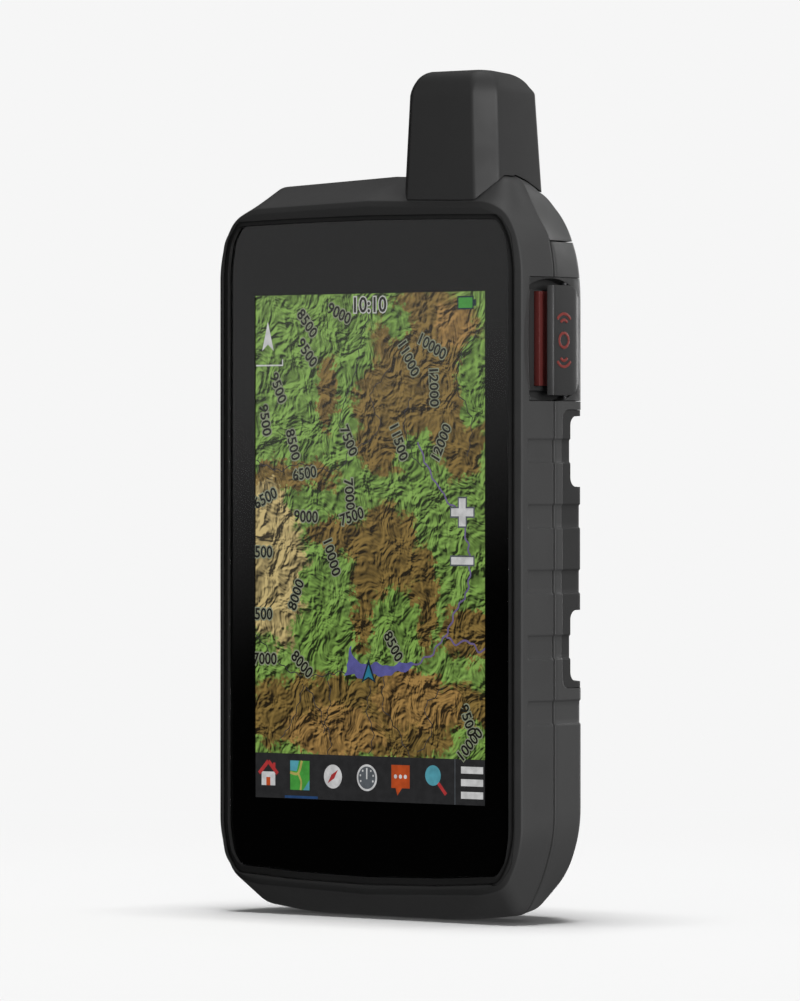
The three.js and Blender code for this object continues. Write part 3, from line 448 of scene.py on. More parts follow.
def rounded(a0, a1, b0, b1, radii, steps=8):
    """A rectangle's outline with a corner radius for each of (a0,b0), (a1,b0), (a1,b1), (a0,b1)."""
    if not isinstance(radii, (list, tuple)):
        radii = [radii] * 4
    points = []
    corners = [(a0, b0, 1, 1, 180), (a1, b0, -1, 1, 270), (a1, b1, -1, -1, 0), (a0, b1, 1, -1, 90)]
    for (a, b, sa, sb, start), r in zip(corners, radii):
        if not r:
            points.append((a, b))
            continue
        for s in range(steps + 1):
            turn = math.radians(start + 90 * s / steps)
            points.append((a + sa * r + r * math.cos(turn), b + sb * r + r * math.sin(turn)))
    return points


def block(name, x0, x1, y0, y1, z0, z1):
    return prism(name, [(x0, z0), (x1, z0), (x1, z1), (x0, z1)], "y", y0, y1)


def circle(a, b, r, steps=64):
    turns = [2 * math.pi * s / steps for s in range(steps)]
    return [(a + r * math.cos(t), b + r * math.sin(t)) for t in turns]


def combine(target, operation, *tools, smooth=35):
    """Cuts, joins or meets the target with each of the tools, which are used up."""
    for tool in tools:
        boolean = target.modifiers.new(operation, "BOOLEAN")
        boolean.operation, boolean.object, boolean.solver = operation, tool, "EXACT"
    made = evaluated(target)
    target.modifiers.clear()
    old = target.data
    target.data = made
    bpy.data.meshes.remove(old)
    for tool in tools:
        drop(tool)
    finish_shading(made, smooth)
    return target


def cut(target, *tools, smooth=35):
    return combine(target, "DIFFERENCE", *tools, smooth=smooth)


def drop(tool):
    mesh = tool.data
    bpy.data.objects.remove(tool)
    bpy.data.meshes.remove(mesh)


def bevelled(target, width, segments=3, angle=35, smooth=35):
    """Rounds the target's edges that are sharper than angle, by real geometry."""
    bevel = target.modifiers.new("bevel", "BEVEL")
    bevel.width, bevel.segments, bevel.limit_method = width * MM, segments, "ANGLE"
    bevel.angle_limit = math.radians(angle)
    made = evaluated(target)
    target.modifiers.clear()
    target.data = made
    finish_shading(made, smooth)
    return target


def on_slope(target, x, v):
    """Leans a solid made about the origin so that its +Y points along the rear slope's normal."""
    foot = REAR_OUTLINE[-1][1] - REAR_CHAMFER
    y = BACK_Y - ((CAP_Z - foot) + v * math.cos(SLOPE)) * math.tan(SLOPE)
    origin = place(0, 0, 0)
    lean = Matrix.Translation(place(x, y, CAP_Z + v * math.cos(SLOPE))) @ Matrix.Rotation(SLOPE, 4, "X")
    target.data.transform(lean @ Matrix.Translation(-origin))
    return target


def dress(target, material, body="case", nodes=()):
    """Gives a finished piece its material and its body, and hides the CAD nodes that it stands for."""
    target.data.materials.clear()
    target.data.materials.append(material)
    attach(target, body)
    if nodes:
        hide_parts(*nodes)
    return target


def slab(z0, z1):
    return block("slab", -80, 80, -80, 80, z0, z1)


def sos_block(grow):
    front = block("front", SOS_X0 - grow, 80, SOS_Y0 - grow, SOS_DEEP_Y + 1, SOS_Z0 - grow, SOS_Z1 + grow)
    deep = block("deep", SOS_DEEP_X - grow, 80, SOS_DEEP_Y - grow, 80, SOS_Z0 - grow, SOS_Z1 + grow)
    return combine(front, "UNION", deep)


def bar_outline(y, z, w, h, steps=16):
    top = [(y + w * math.cos(t), z + h - w + w * math.sin(t)) for t in np.linspace(0, math.pi, steps)]
    low = [(y + w * math.cos(t), z - h + w + w * math.sin(t))
           for t in np.linspace(math.pi, 2 * math.pi, steps)]
    return top + low


# ---------------------------------------------------------------- case
def surface(*ys):
    """Profile points that lie on the form itself."""
    return [(y, 0) for y in ys]


# Profiles: depth y, and how far inside the form the loop lies there
FRONT_PROFILE = [
    (0, 0.14), (0.03, 0.05), (0.1, 0), (0.6, 0), (0.8, 0.02), (0.95, 0.07), (1.1, 0.06), (1.35, 0.02),
    *surface(1.7, 2.2, 2.7, *(GROOVE_Y + e for e in (-0.05, 0.06, 0.18, 0.3)), 3.7, 4.6, 5.6, 6.4,
             7.0, 7.5, 8.0, 8.5, 9.1, 9.8, 10.25),
]
FRONT_EDGE = [(10.36, 0.05), (10.42, 0.2), (10.5, 0.6), (10.6, 0.7)]
REAR_PROFILE = [
    (DOOR_Y, 0.45), (DOOR_Y + 0.06, 0.18), (DOOR_Y + 0.14, 0.05),
    *surface(DOOR_Y + 0.3, *range(12, 20), 19.4, 19.7, 20.0, 20.2, 20.4, 20.7, 21.0, 21.4, 21.8,
             22.0, 22.2, 22.8, 24, 26, 28, 30),
]


def front_housing():
    pocket = [(x, z - POCKET_LOW * step(z, 143, 150)) for x, z in GLASS_OUTLINE]
    loops = [ring(y, d - POCKET_OUT, outline=pocket, radii=GLASS_R)
             for y, d in ((LEDGE_Y, 0), (0.35, 0), (0.15, -0.03), (0.02, -0.12))]
    loops += [ring(y, d, grooves=True) for y, d in FRONT_PROFILE]
    loops += [closed_above(ring(y, 0, grooves=True), ring(y, d, grooves=True)) for y, d in FRONT_EDGE]
    loops += [ring(PART_Y, WALL), ring(LEDGE_BACK, WALL)]
    loops += [ring(y, 4.0, outline=GLASS_OUTLINE, radii=GLASS_R) for y in (LEDGE_BACK, LEDGE_Y)]
    body = loft("front_shell", loops, closed=True)
    power = prism("slot", bar_outline(POWER_Y, POWER_Z, POWER_W + GAP, POWER_H + GAP), "x", -60, -40)
    return cut(body, sos_block(SEAT_GAP), power, thumb_scoop())


def closed_above(plain, rounded_off):
    """The rounded edge at the parting line runs only as high as the battery door does."""
    mixed = []
    for p, q in zip(plain, rounded_off):
        t = 1 - step(p[2], DOOR_TOP_Z - 0.3, DOOR_TOP_Z + 0.3)
        mixed.append(tuple(a + (b - a) * t for a, b in zip(p, q)))
    return mixed


def thumb_scoop():
    """A shallow hollow in front of the emergency cap, so that a thumb can lift it."""
    rows, steps = 24, 48
    centre, size = (43.95, 4.4, KEY_Z), (0.95, 3.5, 13.0)
    turns = [2 * math.pi * k / steps for k in range(steps)]
    loops = []
    for r in range(1, rows):
        t = math.pi * r / rows
        wide, deep, z = size[0] * math.sin(t), size[1] * math.sin(t), centre[2] - size[2] * math.cos(t)
        loops.append([(centre[0] + wide * math.cos(a), centre[1] + deep * math.sin(a), z) for a in turns])
    return loft("scoop", loops)


def rear_form(name, d=0.0, joined=False):
    """The case's solid form behind the parting line, moved inwards by d; joined, it meets the front flush."""
    profile = [(PART_Y - 0.02, 0.0), (PART_Y + 0.4, 0.0), *REAR_PROFILE[4:]] if joined else REAR_PROFILE
    loops = [ring(y, e + d, grooves=True) for y, e in profile]
    for y, e in bezier((30.6, 0.0), (BACK_Y - d, 0.0), (BACK_Y - d, 2.2), 8)[1:]:
        loops.append([(x, y, z) for x, _, z in ring(min(y, BACK_Y), e + d)])
    return loft(name, loops, caps=True)


def inner_form(name, wall, back):
    """The hollow behind the parting line, wall inside the sides and back inside the rear face's outline."""
    return loft(name, [ring(PART_Y, wall), ring(REAR_EDGE_Y, wall), ring(BACK_Y - wall, back)])


def notch_tool(side, z0, z1, grow=0.0):
    outline = rounded(NOTCH_Y - grow, 60, z0 - grow, z1 + grow, [2.0 + grow, 0, 0, 2.0 + grow])
    low, high = sorted((side * (NOTCH_X - grow), side * 70))
    return prism("notch", outline, "x", low, high)


def pad_tool(side, shrink):
    outline = rounded(PAD_Y + shrink, 60, PAD_Z0 + shrink, PAD_Z1 - shrink, [2.2 - shrink, 0, 0, 2.2 - shrink])
    low, high = sorted((side * (NOTCH_X + shrink - 2), side * 70))
    return prism("pad", outline, "x", low, high)


def battery_door():
    body = combine(rear_form("door_shell"), "INTERSECT", slab(-10, DOOR_TOP_Z))
    hollow = combine(inner_form("hollow", DOOR_WALL, 2.6), "INTERSECT", slab(-10, DOOR_TOP_Z - DOOR_WALL))
    cut(hollow, *[notch_tool(s, *z, grow=DOOR_WALL) for s in (-1, 1) for z in NOTCHES])
    cut(body, hollow)
    for side in (-1, 1):
        recess = cut(pad_tool(side, 0.0), rear_form("core", PAD_T))
        cut(body, recess)
    seat = prism("seat", circle(0, DRING_Z, DRING_RECESS + 1.8), "y", DRING_Y0 - 2.2, BACK_Y - 1)
    combine(body, "UNION", seat)
    tools = [notch_tool(s, *z) for s in (-1, 1) for z in NOTCHES]
    tools.append(sos_block(SEAT_GAP))
    tools.append(prism("recess", circle(0, DRING_Z, DRING_RECESS), "y", DRING_Y0 - GAP, 60))
    tools.append(prism("hole", circle(0, DRING_Z, 2.6, 32), "y", 20, 60))
    for i in range(SPEAKER_SLOTS):
        z = SLOT_Z + i * SLOT_PITCH
        tools.append(prism("slot", rounded(-20, -8, z, z + SLOT_H, 0.6), "y", BACK_Y - 6, 60))
    return cut(body, *tools)


def side_pad(side):
    pad = combine(rear_form("pad_form", 0.15), "INTERSECT", pad_tool(side, 0.07))
    cut(pad, rear_form("core", PAD_T - 0.05))
    cut(pad, *[notch_tool(side, *z, grow=0.05) for z in NOTCHES])
    return pad


def rear_cap():
    body = combine(rear_form("rear_cap", joined=True), "INTERSECT", slab(CAP_Z, 200))
    hollow = combine(inner_form("hollow", WALL, 2.6), "INTERSECT", slab(CAP_Z + WALL, 200))
    cut(body, hollow)
    for x, w in PORTS.values():
        wall = on_slope(block("wall", -w / 2 - 1.3, w / 2 + 1.3, -4.6, -0.5, -5.5, 5.5), x, PORT_V)
        combine(wall, "INTERSECT", slab(CAP_Z, 200))
        combine(body, "UNION", wall)
    for x, w in PORTS.values():
        outline = rounded(-w / 2 - 0.2, w / 2 + 0.2, -PORT_H / 2 - 0.2, PORT_H / 2 + 0.2, 1.2)
        cut(body, on_slope(prism("pocket", outline, "y", -2.0, 6), x, PORT_V))
    cut(body, on_slope(prism("usb", rounded(-4.8, 4.8, -2.0, 2.0, 1.6), "y", -9, 1), PORTS["usb_cap"][0], PORT_V))
    cut(body, on_slope(prism("jack", circle(0, 0, 2.5, 32), "y", -9, 1), PORTS["jack_cap"][0], PORT_V))
    return body


def rear_floor():
    """What the battery door covers: the floor behind the electronics, the battery's bay and the screw post."""
    body = loft("rear_floor", [ring(11.5, 2.1), ring(13.1, 2.1)])
    combine(body, "INTERSECT", slab(-10, CAP_Z + 1))
    bay = prism("bay", rounded(-28.3, 28.3, 40.2, 123.8, 2.0), "y", 12.5, 22)
    post = prism("post", circle(0, DRING_Z, 6, 48), "y", 12.5, 20.4)
    combine(body, "UNION", bay, post)
    tools = [prism("inside", rounded(-26.8, 26.8, 41.7, 122.3, 1.0), "y", 13.1, 40)]
    tools.append(prism("hole", circle(0, DRING_Z, 4.3, 40), "y", 16.9, 40))
    tools.append(block("contacts", -8.3, 8.3, 9, 20, 43.7, 49.3))
    tools.append(block("card", -7.9, 7.9, 9, 20, 51.2, 71.5))
    tools.append(prism("speaker", circle(-14, 134.5, 7.5), "y", 9, 20))
    tools.append(sos_block(GAP))
    for z in SCREW_ZS:
        for x in (-SCREW_X, SCREW_X):
            tools.append(prism("screw", circle(x, z, 2.4, 32), "y", 12.3, 40))
            tools.append(prism("shank", circle(x, z, 1.25, 24), "y", 9, 40))
    return cut(body, *tools)


def parting_seal():
    """A dark seal at the foot of the gap between the front shell and the battery door."""
    section = ((10.3, 0.7), (10.82, 0.7), (10.82, 2.4), (10.3, 2.4))
    seal = loft("parting_seal", [ring(y, d) for y, d in section], closed=True)
    return cut(combine(seal, "INTERSECT", slab(-10, CAP_Z)), sos_block(SEAT_GAP))


# ---------------------------------------------------------------- antenna
def boss_loop(z, d, tilt=0.0, corner=0.5):
    base = LIP_OUTLINE[-1][1]
    lean = BOSS_TAPER * (z - base) / (BOSS["face_z"] - base)
    k = d + lean
    x0, x1, y0, y1 = BOSS["x0"] + k, BOSS["x1"] - k * 0.8, BOSS["y0"] + d + lean * 0.3, BOSS["y1"] - k
    f, b = BOSS["facet"] - d * 0.59, BOSS["back"]
    corners = [(x0 + f, y0), (x1 - f, y0), (x1, y0 + f), (x1, y1 - b), (x1 - b, y1), (x0 + b, y1), (x0, y1 - b),
               (x0, y0 + f)]
    points = []
    for i, p in enumerate(corners):
        a, c = corners[i - 1], corners[(i + 1) % len(corners)]
        la, lc = math.dist(a, p), math.dist(c, p)
        reach = min(corner, la * 0.4, lc * 0.4)
        start = tuple(p[n] + (a[n] - p[n]) * reach / la for n in (0, 1))
        end = tuple(p[n] + (c[n] - p[n]) * reach / lc for n in (0, 1))
        points += bezier(start, p, end, 6)
    return [(x, y, z - tilt * (y - BOSS["y0"])) for x, y in points]


def boss_form(name, d, low=None):
    rise = BOSS["top_z"] - BOSS["face_z"]
    sections = [boss_loop(low or BOSS["low_z"], d), boss_loop(165, d), boss_loop(BOSS["face_z"] - 3.0, d)]
    path = bezier((BOSS["face_z"] - 1.4, 0.0), (BOSS["face_z"] + rise * 0.75, BOSS_CHAMFER * 0.12),
                  (BOSS["top_z"], BOSS_CHAMFER), 8)
    share = np.linspace(0, 1, len(path))
    for (z, e), s in zip(path, share):
        tilt = BOSS_TILT * min(1.0, s * 3)
        sections.append(boss_loop(z - d, d + e, tilt, corner=0.5 + 1.6 * s))
    return loft(name, sections, caps=True)


def case_form(name, d):
    """The whole case's outer form, moved inwards by d."""
    depths = (0, LIP_Y, 3, 5, 6.5, BOTTOM_FULL_Y, 9.5, PART_Y, 14, 17, 19.4, 20.2, 21, 24, 28, BACK_Y)
    return loft(name, [ring(y, d) for y in depths])


def antenna_cover():
    body = boss_form("antenna_shell", 0.0)
    return cut(body, case_form("case", -GAP), boss_form("inside", BOSS_WALL, low=140))


# ---------------------------------------------------------------- emergency button
def sos_seat():
    body = combine(case_form("seat_panel", 0.0), "INTERSECT", sos_block(0.0))
    recess = prism("recess", rounded(RECESS_Y, HINGE_Y + 0.5, CAP_Z0 - GAP, CAP_Z1 + GAP, [2.4, 1.8, 1.8, 2.4]),
                   "x", SOS_FLOOR, 60)
    bore = prism("bore", circle(HINGE_X, HINGE_Y, HINGE_R + GAP), "z", CAP_Z0 + 0.9, CAP_Z1 - 0.9)
    key = prism("key", bar_outline(KEY_Y, KEY_Z, KEY_W, KEY_H), "x", 30, 60)
    scoops = []
    for z, way in ((CAP_Z1, 1), (CAP_Z0, -1)):
        half, rise = 6.2, 1.35
        radius = (half ** 2 + rise ** 2) / (2 * rise)
        centre = z + way * (rise + 0.1) - way * radius
        arc = circle(9.8, centre, radius, 240)
        lens = [(y, h) for y, h in arc if way * (h - z) > -1.0]
        lens.sort(key=lambda p: p[0])
        outline = lens + [(lens[-1][0], z - way * 1.0), (lens[0][0], z - way * 1.0)]
        scoops.append(prism("scoop", outline, "x", 41.4, 60))
    return cut(body, recess, bore, key, thumb_scoop(), *scoops)


def sos_cap():
    turn = math.pi / 24
    outline = [(CAP_X0, CAP_Y0)]
    outline += bezier((CAP_X1 - 0.22, CAP_Y0 + 0.62), (CAP_X1 - 0.02, CAP_Y0 + 0.78), (CAP_X1, CAP_Y0 + 1.25), 5)
    end = 2 * math.pi - math.acos((CAP_X0 - HINGE_X) / HINGE_R)
    a = 0.0
    while a < end:
        outline.append((HINGE_X + HINGE_R * math.cos(a), HINGE_Y + HINGE_R * math.sin(a)))
        a += turn
    outline.append((CAP_X0, HINGE_Y - math.sqrt(HINGE_R ** 2 - (CAP_X0 - HINGE_X) ** 2)))
    body = prism("sos_flap", outline, "z", CAP_Z0, CAP_Z1)
    r, rear = 2.3, 15.8
    low = bezier((rear - 3.2, CAP_Z0), (rear - 0.2, CAP_Z0 + 0.1), (rear, CAP_Z0 + r), 10)
    plan = [(CAP_Y0 - 2, CAP_Z0), *low, (20, CAP_Z0 + r)]
    plan += [(y, CAP_Z0 + CAP_Z1 - z) for y, z in reversed(plan)]
    combine(body, "INTERSECT", prism("plan", plan, "x", 30, 60))
    cut(body, prism("pin", circle(HINGE_X, HINGE_Y, HINGE_PIN + GAP, 24), "z", 90, 160))
    return bevelled(body, 0.3, 3, 40)


def cap_marks():
    """Three raised generic shapes on the emergency cap: a ring between two pairs of arcs."""
    width, middle_y = 0.62, 11.1

    def arc(z, r, a0, a1):
        turns = [math.radians(a0 + (a1 - a0) * s / 20) for s in range(21)]
        sides = ((r + width / 2, turns), (r - width / 2, turns[::-1]))
        return [(middle_y + reach * math.cos(t), z + reach * math.sin(t)) for reach, way in sides for t in way]

    shapes = [arc(KEY_Z, 1.55, 0, 180), arc(KEY_Z, 1.55, 180, 360)]
    for way in (1, -1):
        for r in (1.25, 2.55):
            shapes.append(arc(KEY_Z + way * 3.1, r, 90 * way - 58, 90 * way + 58))
    bars = [prism(f"mark_{i}", shape, "x", CAP_X1 - 0.1, CAP_X1 + 0.12) for i, shape in enumerate(shapes)]
    return join("cap_marks", [bevelled(bar, 0.05, 2, 50) for bar in bars])


def join(name, objects):
    bpy.ops.object.select_all(action="DESELECT")
    for o in objects:
        o.select_set(True)
    bpy.context.view_layer.objects.active = objects[0]
    bpy.ops.object.join()
    objects[0].name = objects[0].data.name = name
    return objects[0]


# ---------------------------------------------------------------- glass and display
def glass():
    loops = [ring(GLASS_T, 0.15, outline=GLASS_OUTLINE, radii=GLASS_R)]
    edge = ((GLASS_T - 0.12, 0.02), (GLASS_T - 0.3, 0), (0.2, 0), (0.1, 0.02), (0.03, 0.08), (0, 0.18))
    loops += [ring(y, d, outline=GLASS_OUTLINE, radii=GLASS_R) for y, d in edge]
    return loft("glass_plate", loops, smooth=60, caps=True)


def glass_material():
    """A nearly clear pane. What is bonded to its back carries its shine."""
    n = Nodes("cover_glass")
    at = n.coords()
    shader = n.add("ShaderNodeBsdfPrincipled")
    tone = n.ramp(n.noise(at, 0.05, 4.0, 0.6), 0.3, 0.7, 0.8, 1.2)
    n.link(n.mix(1.0, (0.004, 0.004, 0.004), tone, "MULTIPLY"), shader.inputs["Base Color"])
    shader.inputs["Alpha"].default_value = 0.05
    shader.inputs["IOR"].default_value = 1.5
    shader.inputs["Roughness"].default_value = GLASS_ROUGH
    n.link(shader.outputs[0], n.out.inputs[0])
    return n.material


def border():
    """The black print behind the glass, with a window for the display."""
    outer = ring(GLASS_T + 0.04, 0.06, outline=GLASS_OUTLINE, radii=GLASS_R)
    back = [(x, GLASS_T + 0.12, z) for x, _, z in outer]
    plate = loft("glass_print", [outer, back])
    return cut(plate, block("window", -SCREEN_X, SCREEN_X, 0, 5, SCREEN_Z0, SCREEN_Z1))


def face_glass(work):
    for face in work.faces:
        face.normal_update()
        if face.normal.y > 0:
            face.normal_flip()


def flat_piece(name, polygons, y, material):
    """Flat shapes on the display at depth y, each a list of (x, z) points."""
    vertices, faces = [], []
    for polygon in polygons:
        faces.append(tuple(range(len(vertices), len(vertices) + len(polygon))))
        vertices += [(x, y - CLEAR_DEPTH, z) for x, z in polygon]
    mesh = bpy.data.meshes.new(name)
    mesh.from_pydata([place(*v) for v in vertices], [], faces)
    made = add(name, mesh)
    edited(mesh, face_glass)
    return dress(made, material)


def lit(name, color, spread=0.15, scale=0.5):
    """A part of the picture on the display: light of one colour that varies a little over the surface."""
    n = Nodes(name)
    at = n.coords()
    tone = n.ramp(n.noise(at, scale, 3.0), 0.3, 0.7, 1 - spread, 1 + spread)
    n.show(n.mix(1.0, color, tone, "MULTIPLY"))
    return n.material


# Patches of ground on the map: colour, centre x and z, half width, half height, all in millimetres
PATCHES = [
    ("brown", 17, 122, 16, 15), ("brown", 10, 104, 14, 9), ("brown", 26, 104, 7, 9), ("brown", 4, 112, 8, 8),
    ("green", 30, 116, 5, 10), ("green", 14, 99, 6, 6), ("green", 8, 129, 4, 4), ("brown", -22, 96, 14, 3),
    ("brown", 4.5, 79, 10, 11), ("brown", -9, 83, 8, 4), ("brown", 16, 69, 4, 12), ("brown", -2, 65, 2.5, 9),
    ("cream", -30, 76, 12, 15), ("cream", -22, 64, 7, 6), ("cream", -31, 90, 6, 5), ("brown", 0, 44, 42, 9),
    ("brown", 28, 62, 7, 6), ("tan", -10, 40, 14, 6), ("tan", 14, 47, 12, 6), ("green", 29, 38, 6, 4),
    ("green", -27, 35, 6, 2), ("green", -14, 60, 9, 8), ("green", 8, 64, 6, 7), ("green", -16, 72, 5, 5),
    ("brown", -12, 114, 3, 8), ("tan", 24, 128, 6, 5),
]
GROUND = {"brown": (0.115, 0.075, 0.02), "tan": (0.17, 0.1, 0.03), "cream": (0.27, 0.21, 0.09),
          "green": (0.1, 0.175, 0.035)}


def terrain_material():
    """Shaded relief lit from the upper left, over patches of ground with ragged edges, and dark valley lines."""
    n = Nodes("map_terrain")
    at = n.coords()

    def height(where):
        broad = n.noise(where, 0.16, 3.0, 0.6, distortion=0.8)
        ridges = n.noise(where, 0.38, 3.0, 0.6, kind="RIDGED_MULTIFRACTAL", distortion=0.7)
        return n.math("MULTIPLY_ADD", ridges, 0.3, broad)

    here = height(at)
    there = height(n.vector("ADD", at, (-0.22, 0.0, 0.24)))
    slope = n.math("SUBTRACT", here, there)
    light = n.ramp(slope, -0.045, 0.045, 0.1, 1.8, smooth=False)
    fine = n.noise(at, 0.9, 4.0, 0.65)
    wander = n.noise(at, 0.2, 8.0, 0.75, out=1)
    ragged = n.noise(at, 0.75, 3.0, 0.6, out=1)
    moved = at
    for cloud, reach in ((wander, 13.0), (ragged, 7.0)):
        drift = n.vector("SCALE", n.vector("SUBTRACT", cloud, (0.5, 0.5, 0.5)), scale=reach)
        moved = n.vector("ADD", moved, drift)
    ground = n.mix(fine, (0.075, 0.15, 0.02), (0.17, 0.27, 0.07))
    for color, x, z, half_w, half_h in PATCHES:
        shape = n.add("ShaderNodeMapping", vector_type="TEXTURE")
        n.link(moved, shape.inputs["Vector"])
        shape.inputs["Location"].default_value = (x, 0, z)
        shape.inputs["Scale"].default_value = (half_w, 1000, half_h)
        cover = n.ramp(n.vector("LENGTH", shape.outputs[0]), 0.9, 1.1, 1.0, 0.0)
        ground = n.mix(cover, ground, n.mix(fine, GROUND[color], tuple(c * 1.3 for c in GROUND[color])))
    valley = n.ramp(n.noise(at, 0.1, 5.0, 0.6, kind="RIDGED_MULTIFRACTAL", distortion=0.5), 0.95, 1.25, 0.0, 0.7)
    ground = n.mix(valley, ground, (0.035, 0.025, 0.012))
    n.show(n.mix(1.0, ground, light, "MULTIPLY"))
    return n.material


def label(text, x, z, size, depth_y, grow, turn=0.0):
    """A number on the map as a flat mesh object."""
    curve = bpy.data.curves.new("label", "FONT")
    curve.body = text
    curve.size = size
    curve.align_x = curve.align_y = "CENTER"
    curve.offset = grow
    curve.resolution_u = 3
    text_object = add("label", curve)
    mesh = evaluated(text_object)
    bpy.data.objects.remove(text_object)
    stand = Matrix.Rotation(math.pi / 2, 4, "X")
    spin = Matrix.Rotation(-math.radians(turn), 4, "Y")
    mesh.transform(Matrix.Translation(place(x, depth_y - CLEAR_DEPTH, z)) @ spin @ stand @ Matrix.Scale(MM, 4))
    return add("label", mesh)


def stroke(points, width):
    """A flat band along a line, as one polygon for each step."""
    polygons = []
    for (x0, z0), (x1, z1) in zip(points, points[1:]):
        length = math.dist((x0, z0), (x1, z1)) or 1
        nx, nz = -(z1 - z0) / length * width / 2, (x1 - x0) / length * width / 2
        polygons.append([(x0 + nx, z0 + nz), (x0 - nx, z0 - nz), (x1 - nx, z1 - nz), (x1 + nx, z1 + nz)])
    return polygons


LABELS = [  # text, x, z, turn
    ("8500", -17.9, 129.0, -50), ("9500", -17.9, 122.6, -50), ("9500", -26.4, 115.0, -66),
    ("9000", -8.6, 131.0, -24), ("11000", 11.2, 121.2, -60), ("10000", 17.8, 123.6, -28),
    ("12000", 18.4, 115.0, -88), ("8500", -22.1, 102.6, -74), ("7500", -5.9, 103.4, -64),
    ("11500", 8.4, 103.2, -68), ("12000", 20.6, 102.8, 64), ("6500", -18.6, 96.2, 8),
    ("9000", -18.2, 86.8, -2), ("7000", -5.7, 91.8, -84), ("7500", -4.9, 86.9, 16),
    ("10000", -10.8, 78.2, -70), ("8000", -21.0, 69.8, 68), ("8000", -19.4, 54.6, -42),
    ("8500", 6.9, 58.9, -58), ("9500", 28.0, 43.4, -68), ("10000", 28.6, 38.2, 46),
    ("6500", -30.0, 90.8, 24), ("500", -30.6, 79.0, 0), ("500", -30.6, 65.4, 0),
    ("7000", -30.2, 55.6, 0), ("9500", -30.2, 108.0, -80),
]
RIVERS = [
    [(14, 103), (17, 97), (21.5, 91.5), (25, 88), (27.5, 83), (28.6, 77), (27.6, 71), (24.5, 66.5),
     (22.2, 62.5), (19, 58.5), (14.5, 55.8), (10, 54.6)],
    [(22, 61.5), (25, 59.8), (28, 60.4), (31, 58.4), (33, 58.8)],
]
STREAMS = [
    [(-33, 61), (-28, 56.5), (-23, 53), (-16, 52.2), (-9, 53), (-5, 53.4)],
    [(-12, 53), (-11.2, 47), (-12.6, 42), (-11, 38.5), (-12, 35.2)],
    [(0.6, 50), (-0.6, 45), (1.2, 40), (0.2, 35.2)], [(4.4, 52), (4.0, 46), (8, 41), (11.4, 35.2)],
    [(-19, 50), (-21, 44.5), (-25.5, 38)], [(-18, 50), (-14, 44), (-13, 40)],
    [(-33, 99), (-26, 97), (-20, 98.4), (-10, 97), (-6, 101), (-8.5, 108), (-4, 118), (-2, 126), (2, 135)],
    [(14, 36), (18, 41), (16, 46), (21, 50)], [(-5, 101), (3, 106), (0.5, 113), (6, 119)],
    [(18, 97), (13, 99.5), (10, 107), (12, 113)], [(33, 128), (27, 123), (25, 115), (29, 108), (28, 100)],
]


LAKE = [
    (-7.0, 52.6), (-6.2, 55.0), (-5.4, 59.2), (-4.6, 56.4), (-3.2, 55.6), (-1.0, 54.8), (2.5, 55.4), (5.5, 54.6),
    (8.5, 55.4), (12.8, 55.4), (11, 53.8), (7.6, 53.4), (4.6, 52.4), (1.0, 52.8), (-2.0, 51.6), (-4.4, 52.8),
]
CLOCK = ("10:10", 0.0, 132.7, 4.6)  # text, x, z, size
NUMBER_SIZE = 3.5


def waterways(lines, width):
    return [q for line in lines for q in stroke(wavy(curve_points(line, 8)), width)]


def numbers(grow, depth_y):
    return [label(t, x, z, NUMBER_SIZE, depth_y, grow, turn) for t, x, z, turn in LABELS]


def display():
    """The picture, in layers: the smaller the depth, the nearer to the front."""
    rectangle = [(-SCREEN_X, TOOLBAR_Z), (SCREEN_X, TOOLBAR_Z), (SCREEN_X, SCREEN_Z1), (-SCREEN_X, SCREEN_Z1)]
    flat_piece("map_terrain", [rectangle], 2.22, terrain_material())
    bar = [(-SCREEN_X, SCREEN_Z0), (SCREEN_X, SCREEN_Z0), (SCREEN_X, TOOLBAR_Z), (-SCREEN_X, TOOLBAR_Z)]
    flat_piece("map_toolbar", [bar], 2.22, lit("toolbar", (0.018, 0.018, 0.019)))
    flat_piece("map_streams", waterways(STREAMS, 0.22), 2.20,
               lit("stream", (0.03, 0.028, 0.03), spread=0.5, scale=0.8))
    flat_piece("map_rivers", waterways(RIVERS, 0.42), 2.19, lit("river", (0.13, 0.1, 0.22)))
    flat_piece("map_lake", [wavy(curve_points(LAKE, 4), 0.25)], 2.18, lit("lake", (0.085, 0.085, 0.26)))
    for name, look, color, made in (
            ("map_halos", "halo", (0.2, 0.22, 0.15), numbers(0.32, 2.16)),
            ("map_numbers", "ink", (0.008, 0.008, 0.006), numbers(0.07, 2.13)),
            ("clock_halo", "clock_halo", (0.42, 0.42, 0.4), [label(*CLOCK, 2.12, 0.36)]),
            ("clock_digits", "clock_ink", (0.01, 0.01, 0.008), [label(*CLOCK, 2.09, 0.08)])):
        dress(join(name, made), lit(look, color))
    icons()


def wavy(points, size=0.35):
    """A line that wanders a little from side to side, as streams do."""
    return [(x + size * math.sin(z * 2.1 + x * 0.7), z + size * math.sin(x * 1.9 - z * 0.5)) for x, z in points]


def curve_points(points, steps):
    """A smooth line through the given points."""
    ends = [points[0], *points, points[-1]]
    made = []
    for p0, p1, p2, p3 in zip(ends, ends[1:], ends[2:], ends[3:]):
        for s in range(steps):
            t = s / steps
            made.append(tuple(0.5 * (2 * p1[k] + (p2[k] - p0[k]) * t
                                     + (2 * p0[k] - 5 * p1[k] + 4 * p2[k] - p3[k]) * t * t
                                     + (3 * p1[k] - p0[k] - 3 * p2[k] + p3[k]) * t ** 3) for k in (0, 1)))
    return made + [points[-1]]


def box_shape(x, z, w, h):
    return [(x - w / 2, z - h / 2), (x + w / 2, z - h / 2), (x + w / 2, z + h / 2), (x - w / 2, z + h / 2)]


